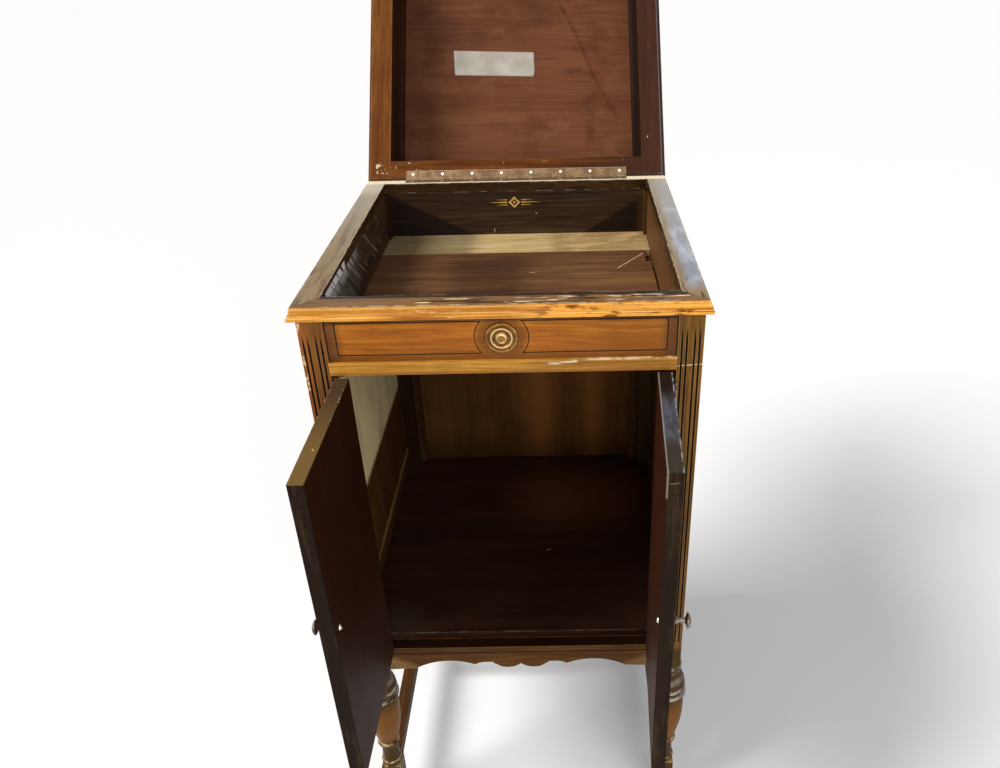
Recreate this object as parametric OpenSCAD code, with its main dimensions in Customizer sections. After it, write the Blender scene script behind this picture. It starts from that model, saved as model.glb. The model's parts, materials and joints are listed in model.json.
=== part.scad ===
// Gramophone cabinet on turned legs, standing open: the lid leans back and both doors are swung out.
// The case is drawn about its own centre; see origin_y for the shift to the middle of the whole object.

/* [Case] */
// Width over the corner posts
case_w = 502; // [440:1:620]
// Depth over the corner posts
case_d = 502; // [440:1:620]
// Height of the rim's top face above the floor
rim_h = 980; // [920:1:1100]
// Side of the square corner posts
post = 32.5; // [29:0.5:38]
// Height of the front apron's top edge above the floor
sill_h = 394; // [370:1:420]
// Thickness of the side panels
side_panel_t = 7; // [5:0.5:9]
// Set-back of the side panels and side rails from the posts
side_recess = 2; // [1:0.5:4]
// Thickness of the back panel
back_panel_t = 8; // [5:0.5:10]
// Depth of the posts' grooves for the panels
panel_groove = 6; // [4:0.5:8]
// Depth of the rails under the case, top to bottom
under_rail_h = 42; // [30:1:60]
// Thickness of the rails under the case
under_rail_t = 18; // [14:0.5:22]
// Thickness of the record compartment's floor
floor_t = 13; // [10:0.5:16]

/* [Rim] */
// Thickness of the rim
rim_t = 17; // [15:0.5:22]
// How far the rim's rails reach inside the posts' outer faces
rim_cover = 28; // [24:0.5:29]
// How far the rear rail reaches inside the posts' outer faces
rear_cover = 15; // [13:0.5:18]
// Overhang of the rim's top arris past the posts
rim_arris = 3.5; // [2:0.5:6]
// Overhang of the rim's lower lip past the posts
rim_lip = 9; // [8:0.5:14]

/* [Front] */
// Height of the false drawer front
frieze_h = 62; // [58:1:75]
// Thickness of the false drawer front
frieze_t = 13; // [10:0.5:16]
// Set-back of the drawer front from the posts
front_recess = 3; // [2:0.5:5]
// Height of the rail over the doors
head_rail_h = 17; // [14:0.5:24]
// How far the head rail stands out in front of the posts
head_rail_out = 3; // [1:0.5:5]
// Radius of the brass rosette
rosette_r = 21; // [17:0.5:23]
// Thickness of the apron
apron_t = 18; // [14:0.5:22]
// Lowest point of the apron below its top edge
apron_drop = 45; // [44:1:52]

/* [Well] */
// Thickness of the well's walls
well_wall_t = 12; // [9:0.5:14]
// Depth of the well's floor below the rim's top
well_depth = 93; // [85:1:120]
// Thickness of the well's floor boards
well_board_t = 12; // [9:0.5:14]
// Depth of the pale rear board, front to back
rear_board_d = 88; // [60:1:140]

/* [Doors] */
// Thickness of the doors
door_t = 18.5; // [16:0.5:22]
// Set-back of the doors from the posts
door_recess = 0.8; // [0.5:0.1:3]
// How far the line where the doors meet stands to the right of the middle
meet_x = 4.6; // [-10:0.1:10]
// Angle at which the left door stands open
left_open = 90.3; // [60:0.1:110]
// Angle at which the right door stands open
right_open = 86.8; // [60:0.1:110]
// Height of the knobs above the floor
knob_h = 657; // [450:1:800]
// Radius of the knobs
knob_r = 9.5; // [7:0.5:12]
// Length of a door hinge
butt_l = 50; // [40:1:70]

/* [Lid] */
// Angle through which the lid stands open
lid_open = 128.5; // [95:0.5:135]
// Thickness of the lid's moulded rails
lid_rail_t = 22; // [20:0.5:28]
// Width of the lid's rails, on the side that meets the rim
lid_cover = 34; // [31:0.5:40]
// Overhang of the lid's lip past the posts
lid_lip = 7; // [6:0.5:12]
// Depth of the hollow inside the lid
lid_recess = 88; // [60:1:110]
// Thickness of the lid's upright sides
lid_side_t = 20; // [14:0.5:24]
// Thickness of the lid's top panel
lid_top_t = 12; // [8:0.5:16]
// Length of the lid's long hinge
lid_hinge_l = 378; // [300:1:400]
// Spacing of the long hinge's screws
lid_screw_pitch = 50.8; // [40:0.1:60]

/* [Legs] */
// Height of the lower square block's underside
foot_h = 62; // [50:1:75]
// Height of the lower square block
block_h = 44; // [38:1:55]
// How far the posts stay square below the apron's top edge
post_drop = 52; // [50:1:70]
// Largest radius of the turning
turning_r = 30.5; // [27:0.5:32]
// Width of the stretchers
stretcher_w = 22; // [16:0.5:26]
// Depth of the stretchers, top to bottom
stretcher_h = 27; // [20:0.5:32]

/* [Hidden] */
$fn = 64;
half_w = case_w / 2;
half_d = case_d / 2;
post_in_w = half_w - post;          // inner faces of the posts, from the middle
post_in_d = half_d - post;
post_bottom = sill_h - post_drop;
turning_h = post_bottom - foot_h - block_h;
drawn_h = 236;                      // length and radius at which the turning's outline is drawn
drawn_r = 30.5;
rim_bottom = rim_h - rim_t;

rim_lip_h = 4;                      // upright band of the rim's lip

// running and assembly gaps
gap = 1;                            // round the doors
fit = 0.05;                         // a pin in its hinge, a screw in its hole
end_gap = 0.3;                      // between hinge knuckles and under the closed lid
eps = 1;                            // overshoot of a cut

// panels, rails and floor
side_out = half_w - side_recess;
side_in = side_out - side_panel_t;
back_in = half_d - back_panel_t;
floor_top = sill_h + floor_t;
floor_front = -(half_d - door_recess - door_t - gap / 2);
rail_bottom = sill_h - under_rail_h;

// front
frieze_bottom = rim_bottom - frieze_h;
head_bottom = frieze_bottom - head_rail_h;
front_face = -(half_d - front_recess);
frieze_back = front_face + frieze_t;
groove_w = 1.5;                     // incised lines on the front
groove_d = 1.2;
line_inset = 12;                    // line to the ends of the drawer front
line_margin = 8;                    // line to its upper and lower edges
line_bow = 12;                      // line to the rosette
rosette_z = frieze_bottom + frieze_h / 2;
rosette_stem_r = 2.5;
head_bead_r = 2.2;
ear_l = 54.5;                       // corner ears: length, and top and tip below the apron's top edge
ear_top = 18;
ear_tip = apron_drop - 1;
ear_drop = 2;                       // their lowest corner below the apron

// well
well_in_w = half_w - rim_cover;
well_front = -(half_d - rim_cover);
well_rear = half_d - rear_cover;
well_floor = rim_h - well_depth;
well_under = well_floor - well_board_t;
cleat = 12;                         // side of the square cleats
board_split = well_rear - rear_board_d;
board_gap = 0.5;
board_side_gap = 2.5;               // open joint beside the front board
board_notch = [8, 50];              // missing corner of the front board

// doors, drawn closed and on the right-hand side
hinge_x = post_in_w;
pin_out = 4.7;                      // door pins in front of the posts
hinge_y = -(half_d + pin_out);
door_low_gap = 1.5;                 // under the doors and over them
door_high_gap = 1.5;
door_bottom = sill_h + door_low_gap;
door_top = head_bottom - door_high_gap;
door_face = -(half_d - door_recess);
door_back = door_face + door_t;
meet_gap = 1.6;                     // between the closed doors: their square edges swing past in it
left_free = -meet_x + meet_gap / 2; // free edges of the closed doors, each on its own side
right_free = meet_x + meet_gap / 2;
left_knob_inset = 20;               // knob axes to the free edges
right_knob_inset = 12;
left_knob_out = 14.5;               // the left knob is screwed in further
right_knob_out = 20.5;
knob_screw_r = 2;
knob_screw_fit = 0.1;
knob_screw_head_r = 4;
door_line_inset = 24;               // incised line to the door's edges
butt_knuckle_r = 3;
butt_leaf_t = 1.2;
butt_leaf_d = 22.5;                 // pin to the leaf's far edge
butt_count = 5;                     // knuckles in a door hinge
butt_low = 46;                      // lower hinge above the apron's top edge
butt_high = 140;                    // upper hinge below the rim's top
butt_z = [sill_h + butt_low, rim_h - butt_high];
butt_screw_d = 14;                  // pin to the screws
butt_pin_r = 1.2;

// lid, drawn closed
lid_pin_r = 1.2;
lid_knuckle_r = 2.5;
rim_rear = half_d + rim_arris;      // rear face of rim and lid
pin_clear = 0.4;                    // knuckles to the rear faces
pin_y = rim_rear + lid_knuckle_r + pin_clear;
pin_z = rim_h + end_gap / 2;
lid_z = rim_h + end_gap;
lid_leaf_t = 1.2;
lid_leaf_d = 16;                    // pin to the leaf's far edge
lid_knuckle_l = 12.6;               // about the length of a knuckle
lid_knuckles = 2 * round(lid_hinge_l / (2 * lid_knuckle_l));
lid_screw_inset = 6.2;              // screws to the leaf's far edge
lid_screw_margin = 10;              // least distance of a screw from the leaf's ends
lid_screws = 1 + floor((lid_hinge_l - 2 * lid_screw_margin) / lid_screw_pitch);
lid_in_w = half_w - lid_cover;
lid_in_front = -(half_d - lid_cover);
lid_in_rear = half_d - rim_cover;
lid_side_out_w = lid_in_w + lid_side_t;
lid_side_front = lid_in_front - lid_side_t;
lid_side_rear = lid_in_rear + lid_side_t;
lid_top_z = lid_z + lid_recess;
lid_top_over = 10;                  // top panel past the lid's sides
lid_cove_w = 8;
lid_cove_h = 25;
joint = 0.2;                        // open mitres of the strips inside the lid
lid_edge_r = lid_top_t / 2;

// countersunk hinge screws
screw_head_r = 2.6;
screw_head_d = 1.2;
screw_shank_r = 1.4;
screw_shank_l = 12;
slot_w = 0.6;
slot_d = 0.5;

// legs
leg_x = half_w - post / 2;
leg_y = half_d - post / 2;
stretcher_low = 6;                  // stretchers above the block's underside
stretcher_z = foot_h + stretcher_low;
stretcher_out = 3;                  // outer faces inside the posts' faces
cross_y = 38;                       // middle of the cross stretcher, behind the middle
cross_less = 2;                     // it is this much lower and higher inside the side stretchers
flute_r = 1.4;
flute_near = 5;                     // flutes to the middle of the post's face
flute_far = 11;
flute_at = [-flute_far, -flute_near, flute_near, flute_far];
flute_high = 55;                    // flutes end below the rim's top and above the sill
flute_low = 5;
flute_top = rim_h - flute_high;
flute_tip = 18;                     // pointed run-out at the top
flute_bottom = sill_h + flute_low;

// The origin is the middle of the open object's own box, at floor level. Its front is the left
// door's free edge and its back is the rounded edge of the tilted lid.
object_front = min(swung_front(left_free, left_open), swung_front(right_free, right_open));
lid_back_t = pin_y - (lid_side_front - lid_top_over + lid_edge_r);
lid_back_d = lid_top_z + lid_edge_r - pin_z;
lid_lean = lid_open - 90;
object_back = pin_y + lid_back_t * sin(lid_lean) + lid_back_d * cos(lid_lean) + lid_edge_r;
origin_y = -(object_front + object_back) / 2;

// foremost place of an open door: one of the two corners of its free edge
function swung_front(free_x, angle) =
    hinge_y - (hinge_x - free_x) * sin(angle)
    + min((door_face - hinge_y) * cos(angle), (door_back - hinge_y) * cos(angle));

// colours
walnut = [0.42, 0.24, 0.11];
dark_walnut = [0.20, 0.10, 0.06];
red_walnut = [0.33, 0.16, 0.09];
edge_gold = [0.72, 0.42, 0.16];
raw_wood = [0.70, 0.58, 0.40];
brass = [0.66, 0.53, 0.28];
bronze = [0.30, 0.26, 0.22];
steel = [0.70, 0.68, 0.62];

// ---- placing ----

// whole case, from its own centre to the object's origin
module place() {
    translate([0, origin_y, 0]) children();
}

// swing a closed lid open about its pin
module lifted() {
    translate([0, pin_y, pin_z]) rotate([-lid_open, 0, 0]) translate([0, -pin_y, -pin_z]) children();
}

// mirror a right-hand piece to the left when side is -1
module on_side(side) {
    mirror([side < 0 ? 1 : 0, 0, 0]) children();
}

// swing a closed right-hand door open about its pin
module swung(angle) {
    translate([hinge_x, hinge_y, 0]) rotate([0, 0, angle]) translate([-hinge_x, -hinge_y, 0]) children();
}

// a box from its lowest corner to its highest corner
module span(low, high) {
    translate(low) cube(high - low);
}

// ---- shared shapes ----

// Moulded edge: x is outwards from the post's face, y is down from the arris.
// A fillet under the arris, then a cove that flares out to the lip.
module edge_profile(cover, arris, lip, thick, lip_h) {
    fillet = 2.5;
    quirk = 1;
    run = lip - arris - quirk;
    drop = thick - lip_h - fillet;
    cove_r = (run * run + drop * drop) / (2 * run);
    difference() {
        polygon([
            [-cover, 0], [arris, 0], [arris, -fillet], [arris + quirk, -fillet],
            [lip, -fillet - drop], [lip, -thick], [-cover, -thick]
        ]);
        translate([arris + quirk + cove_r, -fillet]) circle(r = cove_r);
    }
}

// lid rails: the same edge turned upside down, with its upper corner rounded
module lid_profile(cover) {
    round_r = 5;
    flare = 14;                     // height of the rail's flaring lower part
    difference() {
        mirror([0, 1]) edge_profile(cover, 0, lid_lip, lid_rail_t, lid_rail_t - flare);
        difference() {
            translate([lid_lip - round_r, lid_rail_t - round_r]) square(2 * round_r);
            translate([lid_lip - round_r, lid_rail_t - round_r]) circle(r = round_r);
        }
    }
}

// plan of a side rail: mitred at the front, square at the back
module side_rail_plan(cover, back) {
    reach = 20;
    polygon([
        [half_w + reach, -half_d - reach], [half_w + reach, back],
        [half_w - cover - reach, back], [half_w - cover - reach, -half_d + cover + reach]
    ]);
}

// plan of the front rail, mitred at both ends
module front_rail_plan(cover) {
    reach = 20;
    polygon([
        [-half_w - reach, -half_d - reach], [half_w + reach, -half_d - reach],
        [half_w - cover - reach, -half_d + cover + reach],
        [-half_w + cover + reach, -half_d + cover + reach]
    ]);
}

// countersunk slotted screw with its head's face at the origin, pointing down
module screw() {
    difference() {
        union() {
            translate([0, 0, -screw_head_d])
                cylinder(r1 = screw_shank_r, r2 = screw_head_r, h = screw_head_d);
            translate([0, 0, -screw_head_d - screw_shank_l])
                cylinder(r = screw_shank_r, h = screw_shank_l + fit);
        }
        span([-screw_head_r - eps, -slot_w / 2, -slot_d], [screw_head_r + eps, slot_w / 2, eps]);
    }
}

// the hole that a screw needs, through its leaf and into the wood
module screw_hole() {
    hole_r = screw_shank_r + fit;
    translate([0, 0, -screw_head_d]) cylinder(r1 = hole_r, r2 = screw_head_r + fit, h = screw_head_d);
    translate([0, 0, -screw_head_d - screw_shank_l - fit]) cylinder(r = hole_r, h = screw_shank_l + 2 * fit);
    cylinder(r = screw_head_r + fit, h = eps);
}

// ---- rim ----

module rim_side(side) {
    on_side(side) intersection() {
        translate([half_w, 0, rim_h]) rotate([90, 0, 0])
            linear_extrude(height = case_d + 4 * rim_lip, center = true)
                edge_profile(rim_cover, rim_arris, rim_lip, rim_t, rim_lip_h);
        translate([0, 0, rim_bottom - eps]) linear_extrude(height = rim_t + 2 * eps)
            side_rail_plan(rim_cover, rim_rear);
    }
}

module rim_left() {
    color(walnut) place() rim_side(-1);
}

module rim_right() {
    color(walnut) place() rim_side(1);
}

module rim_front() {
    color(edge_gold) place() intersection() {
        translate([0, -half_d, rim_h]) rotate([0, 0, -90]) rotate([90, 0, 0])
            linear_extrude(height = case_w + 4 * rim_lip, center = true)
                edge_profile(rim_cover, rim_arris, rim_lip, rim_t, rim_lip_h);
        translate([0, 0, rim_bottom - eps]) linear_extrude(height = rim_t + 2 * eps)
            front_rail_plan(rim_cover);
    }
}

module rim_rear() {
    color(raw_wood) place() difference() {
        span([-well_in_w, well_rear, rim_bottom], [well_in_w, rim_rear, rim_h]);
        span([-lid_hinge_l / 2, pin_y - lid_leaf_d, rim_h - lid_leaf_t],
             [lid_hinge_l / 2, rim_rear + eps, rim_h + eps]);
        lid_screw_places(rim_h) screw_hole();
    }
}

// ---- legs ----

// one half-round flute with a pointed top, its face at y = 0
module flute() {
    translate([0, 0, flute_bottom]) cylinder(r = flute_r, h = flute_top - flute_bottom);
    translate([0, 0, flute_top]) cylinder(r1 = flute_r, r2 = 0, h = flute_tip);
    translate([0, 0, flute_bottom]) sphere(r = flute_r);
}

// smooth step from 0 to 1
function ease(t) = (1 - cos(180 * t)) / 2;

// points of a curve from radius a at height p down to radius b at height q
function sweep_points(a, p, b, q, steps) =
    [for (i = [0 : steps]) [a + (b - a) * ease(i / steps), p + (q - p) * i / steps]];

// points of the vase: full at the shoulder, drawn in towards its foot
function vase_points(top, low, full, thin, steps) =
    [for (i = [0 : steps]) let (t = i / steps)
        [thin + (full - thin) * cos(90 * pow(t, 1.35)) + 1.2 * sin(180 * t), top + (low - top) * t]];

// a point of the turning as drawn, [radius, depth below the post], at its real size
function turned(p) =
    [p[0] * turning_r / drawn_r, post_bottom - p[1] * turning_h / drawn_h];

// half outline of the turned part between the square block and the post
module turning_outline() {
    core = 10;                      // it runs on into the post above and the block below
    points = concat(
        [[0, -eps], [core, -eps], [core, 0], [17, 0], [20, 3], [18, 3], [18, 14]],
        sweep_points(20, 14, 28, 46, 8),
        [[26, 46], [26, 75]],
        vase_points(75, 174, 27, 16.5, 14),
        [[14.5, 177]],
        sweep_points(15, 186, 13.5, 194, 4),
        [[14.5, 222], [15, drawn_h], [core, drawn_h], [core, drawn_h + eps], [0, drawn_h + eps]]
    );
    // rings: radius at their middle, depth, radius of the bead
    beads = [[18, 6.5, 3.5], [25, 53, 4], [26, 66, 4.5], [14.5, 181.5, 4.5], [13.5, 228, 4]];
    polygon([for (p = points) turned(p)]);
    for (bead = beads) translate(turned(bead)) circle(r = bead[2] * turning_r / drawn_r);
}

// half outline of the bun foot
module foot_outline() {
    neck = 11;
    bun = 19;
    sole = 12;
    chamfer = [3, 5];
    steps = 12;
    bun_h = foot_h - chamfer[1];
    polygon(concat(
        [[0, foot_h], [neck + chamfer[0], foot_h], [neck, bun_h]],
        [for (i = [1 : steps]) let (a = 180 * i / steps)
            [neck + (bun - neck) * sin(0.93 * a) + 1.4 * i / steps, bun_h * (1 + cos(a)) / 2]],
        [[sole, 0], [0, 0]]
    ));
}

// Leg at the front right: post, turning, block and foot in one piece.
// front_flutes: are there flutes on the face towards the front
module leg(front_flutes) {
    difference() {
        union() {
            span([post_in_w, -half_d, post_bottom], [half_w, -post_in_d, rim_bottom]);
            span([post_in_w, -half_d, foot_h], [half_w, -post_in_d, foot_h + block_h]);
            translate([leg_x, -leg_y, 0]) rotate_extrude() turning_outline();
            translate([leg_x, -leg_y, 0]) rotate_extrude() foot_outline();
        }
        // groove for the side panel
        span([side_in, -post_in_d - panel_groove, sill_h],
             [side_out, -post_in_d + eps, rim_bottom + eps]);
        for (x = flute_at) {
            if (front_flutes) translate([leg_x + x, -half_d, 0]) flute();
            translate([half_w, -leg_y + x, 0]) flute();
        }
        // seats of the door hinge's leaf and screws, on the front posts only
        if (front_flutes) {
            for (z = butt_z) translate([hinge_x, hinge_y, z]) {
                span([0, -hinge_y - half_d - eps, -butt_l / 2], [butt_leaf_t, butt_leaf_d, butt_l / 2]);
                post_screw_places() screw_hole();
            }
        } else {
            // rabbet for the back panel
            span([post_in_w - eps, -half_d - eps, sill_h],
                 [post_in_w + panel_groove, -back_in, rim_bottom + eps]);
        }
    }
}

module front_left_leg() {
    color(walnut) place() on_side(-1) leg(true);
}

module front_right_leg() {
    color(walnut) place() leg(true);
}

module rear_left_leg() {
    color(walnut) place() mirror([0, 1, 0]) on_side(-1) leg(false);
}

module rear_right_leg() {
    color(walnut) place() mirror([0, 1, 0]) leg(false);
}

module side_stretcher(side) {
    on_side(side) span([half_w - stretcher_out - stretcher_w, -post_in_d, stretcher_z],
                       [half_w - stretcher_out, post_in_d, stretcher_z + stretcher_h]);
}

module left_stretcher() {
    color(walnut) place() side_stretcher(-1);
}

module right_stretcher() {
    color(walnut) place() side_stretcher(1);
}

module cross_stretcher() {
    reach = half_w - stretcher_out - stretcher_w;
    color(walnut) place()
        span([-reach, cross_y - stretcher_w / 2, stretcher_z + cross_less],
             [reach, cross_y + stretcher_w / 2, stretcher_z + stretcher_h - cross_less]);
}

// ---- front ----

// incised line round one half of the drawer front, its inner end bowed round the rosette
module frieze_line(inset, bow) {
    difference() {
        translate([0, -frieze_h / 2 + line_margin + inset])
            square([post_in_w - line_inset - inset, frieze_h - 2 * (line_margin + inset)]);
        circle(r = bow);
    }
}

module frieze_panel() {
    color(walnut) place() difference() {
        span([-post_in_w, front_face, frieze_bottom], [post_in_w, frieze_back, rim_bottom]);
        for (side = [-1, 1]) on_side(side)
            translate([0, front_face + groove_d, rosette_z]) rotate([90, 0, 0])
                linear_extrude(height = groove_d + eps) difference() {
                    frieze_line(0, rosette_r + line_bow);
                    frieze_line(groove_w, rosette_r + line_bow + groove_w);
                }
        translate([0, front_face, rosette_z]) rotate([-90, 0, 0])
            translate([0, 0, -eps]) cylinder(r = rosette_stem_r + fit, h = frieze_t + 2 * eps);
    }
}

// turned brass rosette: two rings and a boss with a nipple, on a stem through the drawer front
module rosette() {
    r = rosette_r;
    color(brass) place() translate([0, front_face, rosette_z]) rotate([90, 0, 0]) rotate_extrude()
        difference() {
            union() {
                square([r - 1.6, 2.4]);
                translate([r - 2, 1.9]) circle(r = 2);
                translate([r * 0.62, 2.4]) circle(r = 2.2);
                polygon([[0, 0], [r * 0.42, 0], [r * 0.42, 2.8], [r * 0.33, 4.6], [r * 0.2, 5.8], [0, 6.2]]);
                translate([0, 6.2]) circle(r = 2.4);
                translate([0, -frieze_t]) square([rosette_stem_r, frieze_t + eps]);
            }
            translate([-2 * r, -frieze_t - eps]) square([2 * r, 4 * r]);
            translate([rosette_stem_r, -frieze_t]) square([2 * r, frieze_t]);
        }
}

module head_rail() {
    out = -(half_d + head_rail_out);
    color(walnut) place() {
        span([-post_in_w, out + head_bead_r / 2, head_bottom],
             [post_in_w, frieze_back, frieze_bottom - head_bead_r]);
        span([-post_in_w, out + head_bead_r, frieze_bottom - head_bead_r],
             [post_in_w, frieze_back, frieze_bottom]);
        translate([0, out + head_bead_r, frieze_bottom - head_bead_r]) rotate([0, 90, 0])
            cylinder(r = head_bead_r, h = 2 * post_in_w, center = true);
    }
}

// Front of the apron, drawn from its top edge down: two lobes at the middle, then a short and a
// long arch to each side. x is across and y is up.
module apron_outline() {
    lobe_r = 30;
    lobe_x = 20.5;
    short_r = 31;
    short_x = 55.4;
    long_r = 96;
    long_x = 113;
    short_top = 33;                 // tops of the arches below the apron's top edge
    long_top = 29;
    difference() {
        translate([-post_in_w, -apron_drop - ear_drop]) square([2 * post_in_w, apron_drop + ear_drop]);
        difference() {
            translate([-short_x, -2 * apron_drop]) square([2 * short_x, 2 * apron_drop - short_top]);
            for (side = [-1, 1]) translate([side * lobe_x, -apron_drop + lobe_r]) circle(r = lobe_r);
        }
        for (side = [-1, 1]) {
            translate([side * short_x, -short_top - short_r]) circle(r = short_r);
            translate([side * long_x, -long_top - long_r]) circle(r = long_r);
            polygon([[side * (post_in_w + eps), -ear_top], [side * post_in_w, -ear_top],
                     [side * (post_in_w - ear_l), -ear_tip],
                     [side * (post_in_w - ear_l), -2 * apron_drop],
                     [side * (post_in_w + eps), -2 * apron_drop]]);
        }
    }
}

module front_apron() {
    line_z = 11.5;                  // incised line below the top edge
    color(walnut) place() difference() {
        translate([0, -half_d + apron_t, sill_h]) rotate([90, 0, 0])
            linear_extrude(height = apron_t) apron_outline();
        span([-post_in_w - eps, -half_d - eps, sill_h - line_z - groove_w / 2],
             [post_in_w + eps, -half_d + groove_d, sill_h - line_z + groove_w / 2]);
    }
}

// corner blocks under the sloping ends of the apron
module apron_ears() {
    color(raw_wood) place() for (side = [-1, 1]) on_side(side)
        translate([0, -half_d + apron_t, sill_h]) rotate([90, 0, 0]) linear_extrude(height = apron_t)
            polygon([[post_in_w, -ear_top], [post_in_w - ear_l, -ear_tip],
                     [post_in_w, -apron_drop - ear_drop]]);
}

// ---- case ----

module side_panel(side) {
    on_side(side) span([side_in, -post_in_d - panel_groove, sill_h],
                       [side_out, post_in_d + panel_groove, rim_bottom]);
}

module left_side_panel() {
    color(walnut) place() side_panel(-1);
}

module right_side_panel() {
    color(walnut) place() side_panel(1);
}

module back_panel() {
    reach = post_in_w + panel_groove;
    color(red_walnut) place() span([-reach, back_in, sill_h], [reach, half_d, rim_bottom]);
}

module side_rail(side) {
    on_side(side) span([side_out - under_rail_t, -post_in_d, rail_bottom], [side_out, post_in_d, sill_h]);
}

module left_side_rail() {
    color(walnut) place() side_rail(-1);
}

module right_side_rail() {
    color(walnut) place() side_rail(1);
}

module rear_rail() {
    color(walnut) place()
        span([-post_in_w, half_d - under_rail_t, rail_bottom], [post_in_w, half_d, sill_h]);
}

module compartment_floor() {
    color(dark_walnut) place() {
        span([-side_in, -post_in_d, sill_h], [side_in, post_in_d, floor_top]);
        span([-post_in_w, floor_front, sill_h], [post_in_w, -post_in_d, floor_top]);
        span([-post_in_w, post_in_d, sill_h], [post_in_w, back_in, floor_top]);
    }
}

// battens along the side walls, just above the compartment's floor
module side_battens() {
    batten_t = 6;
    batten_h = 27;
    low = floor_top + 14;
    color(raw_wood) place() for (side = [-1, 1]) on_side(side)
        span([side_in - batten_t, -post_in_d, low], [side_in, post_in_d, low + batten_h]);
}

// upright battens in the compartment's rear corners
module back_battens() {
    batten_t = 10;
    left_w = 14.5;
    right_w = 12;
    right_gap = 4.5;                // open strip beside the right one
    right = post_in_w - right_gap;
    top = well_under - cleat;
    color(red_walnut) place() {
        span([-post_in_w, back_in - batten_t, floor_top], [-post_in_w + left_w, back_in, top]);
        span([right - right_w, back_in - batten_t, floor_top], [right, back_in, top]);
    }
}

// ---- well ----

module well_side_wall(side) {
    on_side(side) span([well_in_w, -post_in_d, well_under - cleat],
                       [well_in_w + well_wall_t, post_in_d, rim_bottom]);
}

module well_wall_left() {
    color(dark_walnut) place() well_side_wall(-1);
}

module well_wall_right() {
    color(dark_walnut) place() well_side_wall(1);
}

module well_wall_front() {
    color(dark_walnut) place()
        span([-post_in_w, frieze_back, head_bottom], [post_in_w, well_front, rim_bottom]);
}

module well_wall_rear() {
    color(dark_walnut) place()
        span([-post_in_w, well_rear, well_under - cleat], [post_in_w, back_in, rim_bottom]);
}

// the well's floor stops at the posts, which stand a little into its corners
module well_board_front() {
    right = well_in_w - board_side_gap;
    color(dark_walnut) place() difference() {
        span([-well_in_w, well_front, well_under], [right, board_split, well_floor]);
        for (side = [-1, 1]) on_side(side)
            span([post_in_w, -half_d, well_under - eps], [half_w, -post_in_d, well_floor + eps]);
        span([right - board_notch[0], board_split - board_notch[1], well_under - eps],
             [right + eps, board_split + eps, well_floor + eps]);
    }
}

module well_board_rear() {
    color(raw_wood) place() difference() {
        span([-well_in_w, board_split + board_gap, well_under], [well_in_w, well_rear, well_floor]);
        for (side = [-1, 1]) on_side(side)
            span([post_in_w, post_in_d, well_under - eps], [half_w, half_d, well_floor + eps]);
    }
}

// cleats under the well's floor, and the one behind the apron that carries the compartment's floor
module shelf_cleats() {
    color(raw_wood) place() {
        for (side = [-1, 1]) on_side(side)
            span([well_in_w - cleat, -post_in_d, well_under - cleat], [well_in_w, post_in_d, well_under]);
        span([-post_in_w, -half_d + apron_t, sill_h - under_rail_t], [post_in_w, -post_in_d, sill_h]);
    }
}

// ---- lid ----

// places of the long hinge's screws along a leaf whose face is at height z
module lid_screw_places(z) {
    for (i = [0 : lid_screws - 1])
        translate([(i - (lid_screws - 1) / 2) * lid_screw_pitch, pin_y - lid_leaf_d + lid_screw_inset, z])
            children();
}

// Long hinge leaf with every other knuckle. first is 0 or 1; low and high are the plate's faces.
module long_leaf(first, low, high) {
    pitch = lid_hinge_l / lid_knuckles;
    difference() {
        union() {
            span([-lid_hinge_l / 2, pin_y - lid_leaf_d, low], [lid_hinge_l / 2, pin_y, high]);
            for (i = [first : 2 : lid_knuckles - 1])
                translate([-lid_hinge_l / 2 + i * pitch, pin_y, pin_z]) rotate([0, 90, 0])
                    translate([0, 0, end_gap / 2]) cylinder(r = lid_knuckle_r, h = pitch - end_gap);
        }
        // room for the other leaf's knuckles
        for (i = [1 - first : 2 : lid_knuckles - 1])
            translate([-lid_hinge_l / 2 + i * pitch, pin_y, pin_z]) rotate([0, 90, 0])
                translate([0, 0, -end_gap / 2]) cylinder(r = lid_knuckle_r + end_gap, h = pitch + end_gap);
        translate([0, pin_y, pin_z]) rotate([0, 90, 0])
            cylinder(r = lid_pin_r + fit, h = lid_hinge_l + 2 * eps, center = true);
    }
}

module rim_hinge_leaf() {
    color(steel) place() difference() {
        long_leaf(0, rim_h - lid_leaf_t, rim_h);
        lid_screw_places(rim_h) screw_hole();
    }
}

module rim_hinge_screws() {
    color(steel) place() lid_screw_places(rim_h) screw();
}

module lid_hinge_pin() {
    color(steel) place() translate([0, pin_y, pin_z]) rotate([0, 90, 0])
        cylinder(r = lid_pin_r, h = lid_hinge_l, center = true);
}

module lid_hinge_leaf() {
    color(steel) place() lifted() difference() {
        long_leaf(1, lid_z, lid_z + lid_leaf_t);
        lid_screw_places(lid_z) mirror([0, 0, 1]) screw_hole();
    }
}

module lid_hinge_screws() {
    color(steel) place() lifted() lid_screw_places(lid_z) mirror([0, 0, 1]) screw();
}

module lid_rail_side(side) {
    lifted() on_side(side) intersection() {
        translate([half_w, 0, lid_z]) rotate([90, 0, 0])
            linear_extrude(height = case_d + 4 * rim_lip, center = true) lid_profile(lid_cover);
        translate([0, 0, lid_z - eps]) linear_extrude(height = lid_rail_t + 2 * eps)
            side_rail_plan(lid_cover, rim_rear);
    }
}

module lid_rail_left() {
    color(red_walnut) place() lid_rail_side(-1);
}

module lid_rail_right() {
    color(red_walnut) place() lid_rail_side(1);
}

module lid_rail_front() {
    color(red_walnut) place() lifted() intersection() {
        translate([0, -half_d, lid_z]) rotate([0, 0, -90]) rotate([90, 0, 0])
            linear_extrude(height = case_w + 4 * rim_lip, center = true) lid_profile(lid_cover);
        translate([0, 0, lid_z - eps]) linear_extrude(height = lid_rail_t + 2 * eps)
            front_rail_plan(lid_cover);
    }
}

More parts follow.
